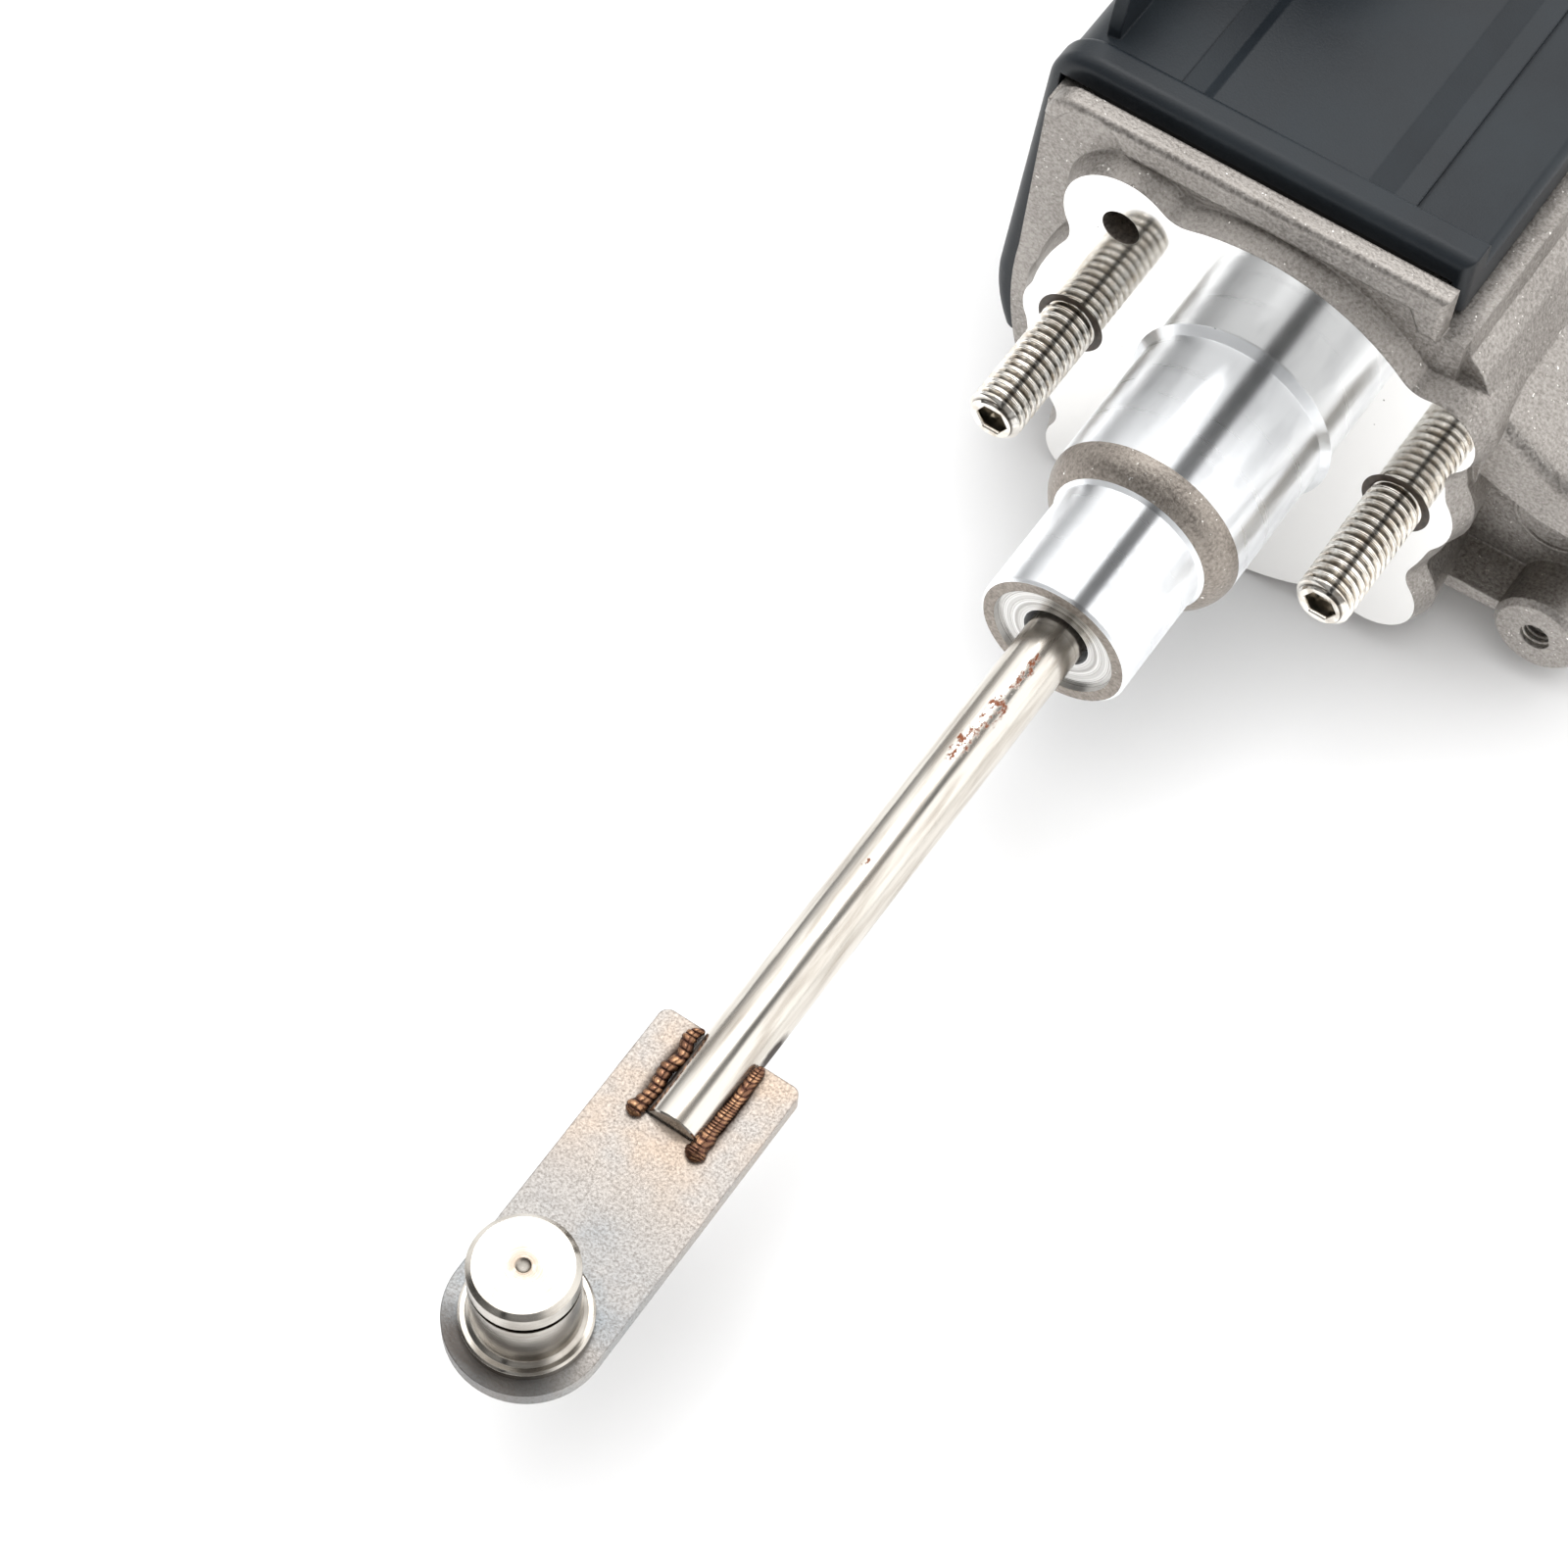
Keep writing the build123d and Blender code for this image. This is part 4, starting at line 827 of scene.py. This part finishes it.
@dataclass
class Stud:
    """A mounting stud with its rolled thread and a hexagon socket in its tip."""

    node: str
    x: float
    crest_radius: float = 2.95
    root_radius: float = 2.42
    pitch: float = 1.0
    tip_y: float = -14.6
    inner_y: float = 9.7
    chamfer: float = 0.6
    socket_across_flats: float = 3.0
    socket_depth: float = 4.0
    floor_cone: tuple[float, float] = (0.5, 0.3)
    socket_edge: tuple[tuple[float, float, float], ...] = (
        (0.4, 1.0, 0.0), (0.12, 1.03, 0.02), (0.0, 1.05, 0.12))
    face_inset: float = 0.15
    lead_inset: float = 0.1
    first_row: float = 0.02
    crest_band: tuple[float, float] = (0.9, 1.0)
    crest_dip: float = 0.06
    mouth: tuple[float, float] = (2.9, 3.72)
    mouth_y: tuple[float, float] = (-0.03, 0.05)
    valley: tuple[float, float] = (0.04, 0.66)
    columns: int = 96
    rows_per_pitch: int = 22

    def build(self, finish: bpy.types.Material, shade: bpy.types.Material) -> None:
        """Build the stud in place of its plain solid, and a dark ring of painted shade round it at the mouth
        of its hole.

        Args:
            finish: the plated steel that it takes.
            shade: what the mouth takes: painted shade.
        """
        points, height = self.points()
        piece = closed_tube(f"{self.node}_threaded", points)
        values = np.concatenate([height.reshape(-1), [0.0, 1.0]]).astype(np.float32)
        piece.data.attributes.new("height", "FLOAT", "POINT").data.foreach_set("value", values)
        piece.data.materials.append(finish)
        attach(piece, "case")
        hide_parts(self.node)
        inner, outer = self.mouth
        front, back = self.mouth_y
        section = ((inner, front), (outer, front), (outer, back), (inner, back))
        # Painted shade: a thin dark ring on the face round the stud, where the mouth of its hole lies in
        # shadow
        mouth = turned_ring(f"{self.node}_mouth", section, self.x, 0.0)
        mouth.data.materials.append(shade)
        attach(mouth, "case")
        LOG.info("built %s and %s", piece.name, mouth.name)

    def points(self) -> tuple[np.ndarray, np.ndarray]:
        """Work out the stud's surface, from the socket's floor out over the tip and along the thread.

        The socket's radius is a hexagon's: half its width across flats over the cosine of the angle from the
        nearest flat's middle. Its floor is a short cone. At each depth of socket_edge the hexagon is scaled
        by a share and then widened by a length. The thread's radius goes from root to crest with a triangle
        wave of the distance along the axis less the angle's share of one pitch, and a cone cuts it back at
        both ends.

        Returns:
            rows x columns x 3 positions in millimetres, and the thread's height from 0 to 1 at each.
        """
        angle = np.linspace(0.0, 2 * np.pi, self.columns, endpoint=False)
        sector = np.mod(angle, np.pi / 3) - np.pi / 6
        hexagon = self.socket_across_flats / 2 / np.cos(sector)
        cone_height, cone_share = self.floor_cone
        floor_y, end_radius = self.tip_y + self.socket_depth, self.crest_radius - self.chamfer
        rows = [(floor_y, hexagon * cone_share), (floor_y - cone_height, hexagon)]
        rows += [(self.tip_y + depth, hexagon * share + more) for depth, share, more in self.socket_edge]
        rows.append((self.tip_y, np.full(self.columns, end_radius - self.face_inset)))
        steps = int((self.inner_y - self.tip_y) / self.pitch * self.rows_per_pitch)
        along = np.linspace(self.tip_y + self.first_row, self.inner_y, steps)
        y, turn = np.meshgrid(along, angle, indexing="ij")
        phase = np.mod((y - self.tip_y) / self.pitch - turn / (2 * np.pi), 1.0)
        wave = 1.0 - np.abs(2 * phase - 1.0)
        height = smooth_step(wave, *self.valley) - self.crest_dip * smooth_step(wave, *self.crest_band)
        radius = self.root_radius + (self.crest_radius - self.root_radius) * height
        for from_end in (y - self.tip_y, self.inner_y - y):
            radius = np.minimum(radius, end_radius - self.lead_inset + from_end)
        head = np.stack([
            np.stack([self.x + r * np.cos(angle), np.full_like(angle, at), r * np.sin(angle)], axis=-1)
            for at, r in rows])
        shank = np.stack([self.x + radius * np.cos(turn), y, radius * np.sin(turn)], axis=-1)
        return np.concatenate([head, shank]), np.concatenate([np.ones(head.shape[:2]), height])


@dataclass
class TappedHole:
    """The thread cut into the boss under the wing."""

    x: float = 35.1
    z: float = -15.7
    mouth_y: float = 5.2
    inner_y: float = 13.6
    radius: float = 1.62
    wire: float = 0.17
    pitch: float = 0.7
    rows_per_turn: int = 48
    columns: int = 10

    def build(self, finish: bpy.types.Material) -> None:
        """Build the thread's ridge: a thin tube wound as a helix on the hole's wall.

        Args:
            finish: the metal that it takes.
        """
        turns = (self.inner_y - self.mouth_y) / self.pitch
        t = np.linspace(0.0, 2 * np.pi * turns, int(turns * self.rows_per_turn))
        around = np.linspace(0.0, 2 * np.pi, self.columns, endpoint=False)
        along, turn = np.meshgrid(t, around, indexing="ij")
        reach = self.radius + self.wire * np.cos(turn)
        points = np.stack([
            self.x + reach * np.cos(along),
            self.mouth_y + self.pitch * along / (2 * np.pi) + self.wire * np.sin(turn),
            self.z + reach * np.sin(along)], axis=-1)
        piece = closed_tube("boss_thread", points)
        piece.data.materials.append(finish)
        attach(piece, "case")
        LOG.info("built %s", piece.name)


@dataclass
class WeldBead:
    """One bead along the rod's side, laid as overlapping ripples and ending in a crater."""

    node: str
    side: float
    ripples: float
    ripple_depth: float
    middle_x: float
    start_y: float = -97.0
    end_y: float = -86.3
    middle_z: float = 1.25
    radius: float = 0.76
    crater: float = 0.3
    wander: float = 0.12
    taper: float = 0.16
    lean: float = 0.42
    flatten: float = 0.92
    round_share: float = 0.09
    crater_place: float = 0.07
    crater_width: float = 0.06
    knots: int = 14
    swell: float = 0.06
    pace: float = 0.25
    start_size: float = 1.08
    ripple_middle: float = 0.6
    pole_ripple: float = 0.2
    seed: int = 3
    rows: int = 360
    columns: int = 40

    def build(self, finish: bpy.types.Material) -> None:
        """Build the bead in place of its plain solid.

        Args:
            finish: the oxidised weld metal that it takes.
        """
        points, ripple = self.points()
        piece = closed_tube(f"{self.node}_bead", points)
        values = np.concatenate([ripple.reshape(-1), [self.pole_ripple] * 2]).astype(np.float32)
        piece.data.attributes.new("ripple", "FLOAT", "POINT").data.foreach_set("value", values)
        piece.data.materials.append(finish)
        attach(piece, "rod")
        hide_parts(self.node)
        LOG.info("built %s", piece.name)

    def points(self) -> tuple[np.ndarray, np.ndarray]:
        """Work out the bead: a tube whose radius swells and pinches with each ripple.

        The radius is the bead's own, times a round end at each side, times 1 plus a ripple that leans back
        round the tube, so that its crests are arcs as the weld pool left them. It tapers away from the
        crater, and its middle wanders slightly.

        Returns:
            rows x columns x 3 positions in millimetres, and the ripple's height from 0 to 1 at each.
        """
        rng = np.random.default_rng(self.seed)
        t = np.linspace(0.0, 1.0, self.rows)
        knots = np.linspace(0.0, 1.0, self.knots)
        drift_x = np.interp(t, knots, rng.normal(0.0, self.wander, self.knots))
        swell = 1.0 + np.interp(t, knots, rng.normal(0.0, self.swell, self.knots))
        stretch = np.interp(t, knots, np.cumsum(np.abs(rng.normal(1.0, self.pace, self.knots))))
        stretch = (stretch - stretch[0]) / (stretch[-1] - stretch[0])
        end = np.clip(np.minimum(t, 1.0 - t) / self.round_share, 0.0, 1.0)
        round_end = np.sqrt(1.0 - (1.0 - end) ** 2) * (self.start_size - self.taper * t)
        blob = 1.0 + self.crater * np.exp(-((t - self.crater_place) / self.crater_width) ** 2)
        angle = np.linspace(0.0, 2 * np.pi, self.columns, endpoint=False)
        along, turn = np.meshgrid(stretch, angle, indexing="ij")
        phase = np.mod(along * self.ripples + self.lean * np.sin(turn), 1.0)
        ripple = np.sqrt(np.clip(1.0 - (2 * phase - 1.0) ** 2, 0.0, 1.0))
        plain = self.radius * round_end * swell * blob
        radius = plain[:, None] * (1.0 + self.ripple_depth * (ripple - self.ripple_middle))
        y = self.start_y + (self.end_y - self.start_y) * t
        points = np.stack([
            self.side * self.middle_x + drift_x[:, None] + radius * np.cos(turn),
            np.broadcast_to(y[:, None], radius.shape),
            self.middle_z + self.flatten * radius * np.sin(turn)], axis=-1)
        return points, ripple


@dataclass
class RodGroup:
    """The sliding rod with its link plate, pivot pin, welds and roller pin."""

    def build(self) -> None:
        """Dress the solids and build the two weld beads."""
        dress("push_rod", GroundRod().build())
        dress("link_plate", TintedPlate().build())
        dress("pivot_pin", TurnedPin().build())
        zinc = Inner.ZINC.value.build()
        dress("roller_pin", zinc)
        dress("cam_roller", zinc)
        weld = OxidisedWeld().build()
        WeldBead("weld_left", -1.0, 14.0, 0.2, 3.5, radius=0.7, seed=5, wander=0.2).build(weld)
        WeldBead("weld_right", 1.0, 26.0, 0.14, 3.2, radius=0.72, start_y=-97.6, seed=8, wander=0.05,
                 lean=1.1, taper=0.3).build(weld)


@dataclass
class Drive:
    """What works inside the case: motor, gears, guides and sensor."""

    finishes: dict[Inner, tuple[str, ...]] = field(default_factory=lambda: {
        Inner.RUBBER: ("rod_seal",),
        Inner.BRONZE: ("rod_bush_front", "rod_bush_rear", "motor_bearing_low", "motor_bearing_top",
                       "motor_pinion"),
        Inner.ZINC: ("tunnel_plug", "output_axle", "idler_axle", "motor_shaft"),
        Inner.ACETAL: ("output_gear", "idler_gear"),
        Inner.DRAWN: ("motor_can",),
        Inner.FERRITE: ("motor_magnet_left", "motor_magnet_right", "sensor_magnet"),
        Inner.LAMINATED: ("armature",),
        Inner.COPPER: ("commutator",),
        Inner.BOARD: ("sensor_board",),
    })

    def build(self) -> None:
        """Dress each inner piece."""
        for finish, nodes in self.finishes.items():
            made = finish.value.build()
            for node in nodes:
                dress(node, made)
        dress("motor_end_cap", MouldedPolyamide(name="moulded_end_cap").build())


@dataclass
class Studio:
    """The pale floor, the soft lights and the camera."""

    camera_mm: tuple[float, float, float] = (79.387, -212.632, 304.750)
    right: tuple[float, float, float] = (0.81857721, 0.57433165, 0.00863249)
    up: tuple[float, float, float] = (-0.51188414, 0.72258976, 0.46458441)
    forward: tuple[float, float, float] = (-0.26058777, 0.38471704, -0.88548676)
    lens_mm: float = 86.735
    sensor_mm: float = 36.0
    clip: tuple[float, float] = (0.01, 20.0)
    shift: tuple[float, float] = (0.06778, 0.10365)
    floor_width: float = 6.0
    glossy_lift: float = 0.25
    gap_lean: float = 13.6
    gap_half: tuple[float, float] = (math.radians(7.5), math.radians(14))
    gap_low: float = 0.12
    left_fade: tuple[float, float] = (math.radians(-88), math.radians(-38))
    left_low: float = 0.17
    right_fade: tuple[float, float] = (math.radians(96), math.radians(78))
    right_low: float = 0.4
    front_fade: tuple[float, float] = (-0.6, -0.1)
    front_low: float = 0.2
    softbox_strength: float = 1.9
    tent: tuple[float, float] = (0.05, 3.6)
    tent_power: float = 3.0
    paper: str = "#E9E9E9"
    key_place: tuple[float, float, float] = (-0.25, 0.35, 0.9)
    key_width: float = 0.3
    key_power: float = 1.5
    target_mm: tuple[float, float, float] = (0.0, -20.0, 0.0)

    def build(self, floor_z: float) -> None:
        """Set up the floor, world, lights and camera.

        Args:
            floor_z: the height of the floor, in metres.
        """
        self.build_floor(floor_z)
        self.build_world()
        self.build_lights()
        self.build_camera()

    def build_floor(self, floor_z: float) -> None:
        """Lay a pale floor that keeps its shadows and shows whiter in the metal's reflections.

        Args:
            floor_z: its height, in metres.
        """
        half = self.floor_width / 2
        sides = ((-half, -half), (half, -half), (half, half), (-half, half))
        corners = np.array([(x, y, floor_z) for x, y in sides])
        floor = new_piece("studio_floor", corners, [[0, 1, 2, 3]])
        material = bpy.data.materials.new("white_backdrop_paper")
        nodes = Nodes(material)
        glossy = nodes.add("LightPath", out="Is Glossy Ray")
        paper = nodes.add("BsdfDiffuse", Color=linear(self.paper))
        lift = nodes.add("Math", glossy, self.glossy_lift, operation="MULTIPLY")
        glow = nodes.add("Emission", Color=linear("#FFFFFF"), Strength=lift)
        nodes.add("OutputMaterial", nodes.add("AddShader", paper, glow))
        floor.data.materials.append(material)
        floor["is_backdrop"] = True

    def build_world(self) -> None:
        """Surround the part with a room whose ceiling holds two long softboxes with a dark gap between.

        A direction's lean is its angle from straight up towards +x. The boxes reach from the left, past the
        gap, to the right horizon, and they fade towards the front, where the room is dim. What the floor and
        the plastic scatter is lit as in a light tent that is brightest overhead: its strength rises with the
        cube of a direction's height, so that shadows are deep under the part and end close to it. The camera
        sees the room as plain white.
        """
        world = bpy.data.worlds.new("softbox_room")
        bpy.context.scene.world = world
        nodes = Nodes(world)
        x, y, z = nodes.add("SeparateXYZ", nodes.add("TexCoord", out="Generated")).node.outputs
        lean = nodes.add("Math", x, z, operation="ARCTAN2")
        off = nodes.add("Math", lean, math.radians(self.gap_lean), operation="SUBTRACT")
        off = nodes.add("Math", off, operation="ABSOLUTE")
        fades = ((off, self.gap_half, self.gap_low), (lean, self.left_fade, self.left_low),
                 (lean, self.right_fade, self.right_low), (y, self.front_fade, self.front_low))
        light: object = 1.0
        for value, span, low in fades:
            fade = nodes.add("MapRange", value, *span, low, 1.0, interpolation_type="SMOOTHSTEP")
            light = nodes.add("Math", light, fade, operation="MULTIPLY")
        boxes = nodes.add("Math", light, self.softbox_strength, operation="MULTIPLY")
        upward = nodes.add("Math", z, 0.0, operation="MAXIMUM")
        height = nodes.add("Math", upward, self.tent_power, operation="POWER")
        tent = nodes.add("MapRange", height, 0.0, 1.0, *self.tent)
        rays = nodes.add("LightPath").node.outputs
        lit = nodes.add("MapRange", rays["Is Diffuse Ray"], 0.0, 1.0, boxes, tent)
        seen = nodes.add("MapRange", rays["Is Camera Ray"], 0.0, 1.0, lit, 1.0)
        surround = nodes.add("Background", Color=linear("#FFFFFF"), Strength=seen)
        nodes.add("OutputWorld", surround)

    def build_lights(self) -> None:
        """Hang a small lamp high behind the part for its glints."""
        self.softbox("softbox_key", self.key_place, self.key_width, self.key_power)

    def softbox(self, name: str, place: tuple[float, float, float], width: float, power: float) -> None:
        """Hang one square lamp that faces the part.

        Args:
            name: the lamp's name.
            place: its middle, in metres.
            width: its side, in metres.
            power: its power, in watts.
        """
        data = bpy.data.lights.new(name, "AREA")
        data.shape, data.size, data.energy = "SQUARE", width, power
        lamp = bpy.data.objects.new(name, data)
        bpy.context.scene.collection.objects.link(lamp)
        lamp.location = place
        target = Vector(self.target_mm) * MM
        lamp.rotation_euler = (target - Vector(place)).to_track_quat("-Z", "Y").to_euler()

    def build_camera(self) -> None:
        """Place the camera where the photograph was taken from."""
        data = bpy.data.cameras.new("camera")
        data.sensor_width, data.lens = self.sensor_mm, self.lens_mm
        data.shift_x, data.shift_y = self.shift
        data.clip_start, data.clip_end = self.clip
        camera = bpy.data.objects.new("camera", data)
        bpy.context.scene.collection.objects.link(camera)
        turn = Matrix((self.right, self.up, tuple(-v for v in self.forward))).transposed()
        camera.matrix_world = Matrix.Translation(Vector(self.camera_mm) * MM) @ turn.to_4x4()
        bpy.context.scene.camera = camera


def main() -> None:
    """Build the looks of every sub-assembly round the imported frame."""
    logging.basicConfig(level=logging.INFO, format="%(name)s: %(message)s")
    bpy.context.scene.view_settings.view_transform = "Standard"
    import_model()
    cad_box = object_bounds()
    Casting().build()
    Cover().build()
    TappedHole().build(CastAluminium("cut_thread_aluminium", light="#D9D5CF", dark="#8D877F").build())
    # The second finish is painted shade, for the dark ring round each stud's hole
    nickel, hole_shade_finish = PlatedSteel().build(), Inner.PAINTED_HOLE_SHADE.value.build()
    for node, x in (("stud_left", -STUD_X), ("stud_right", STUD_X)):
        Stud(node, x).build(nickel, hole_shade_finish)
    RodGroup().build()
    Drive().build()
    Studio().build(cad_box[0][2])


if __name__ == "__main__":
    main()
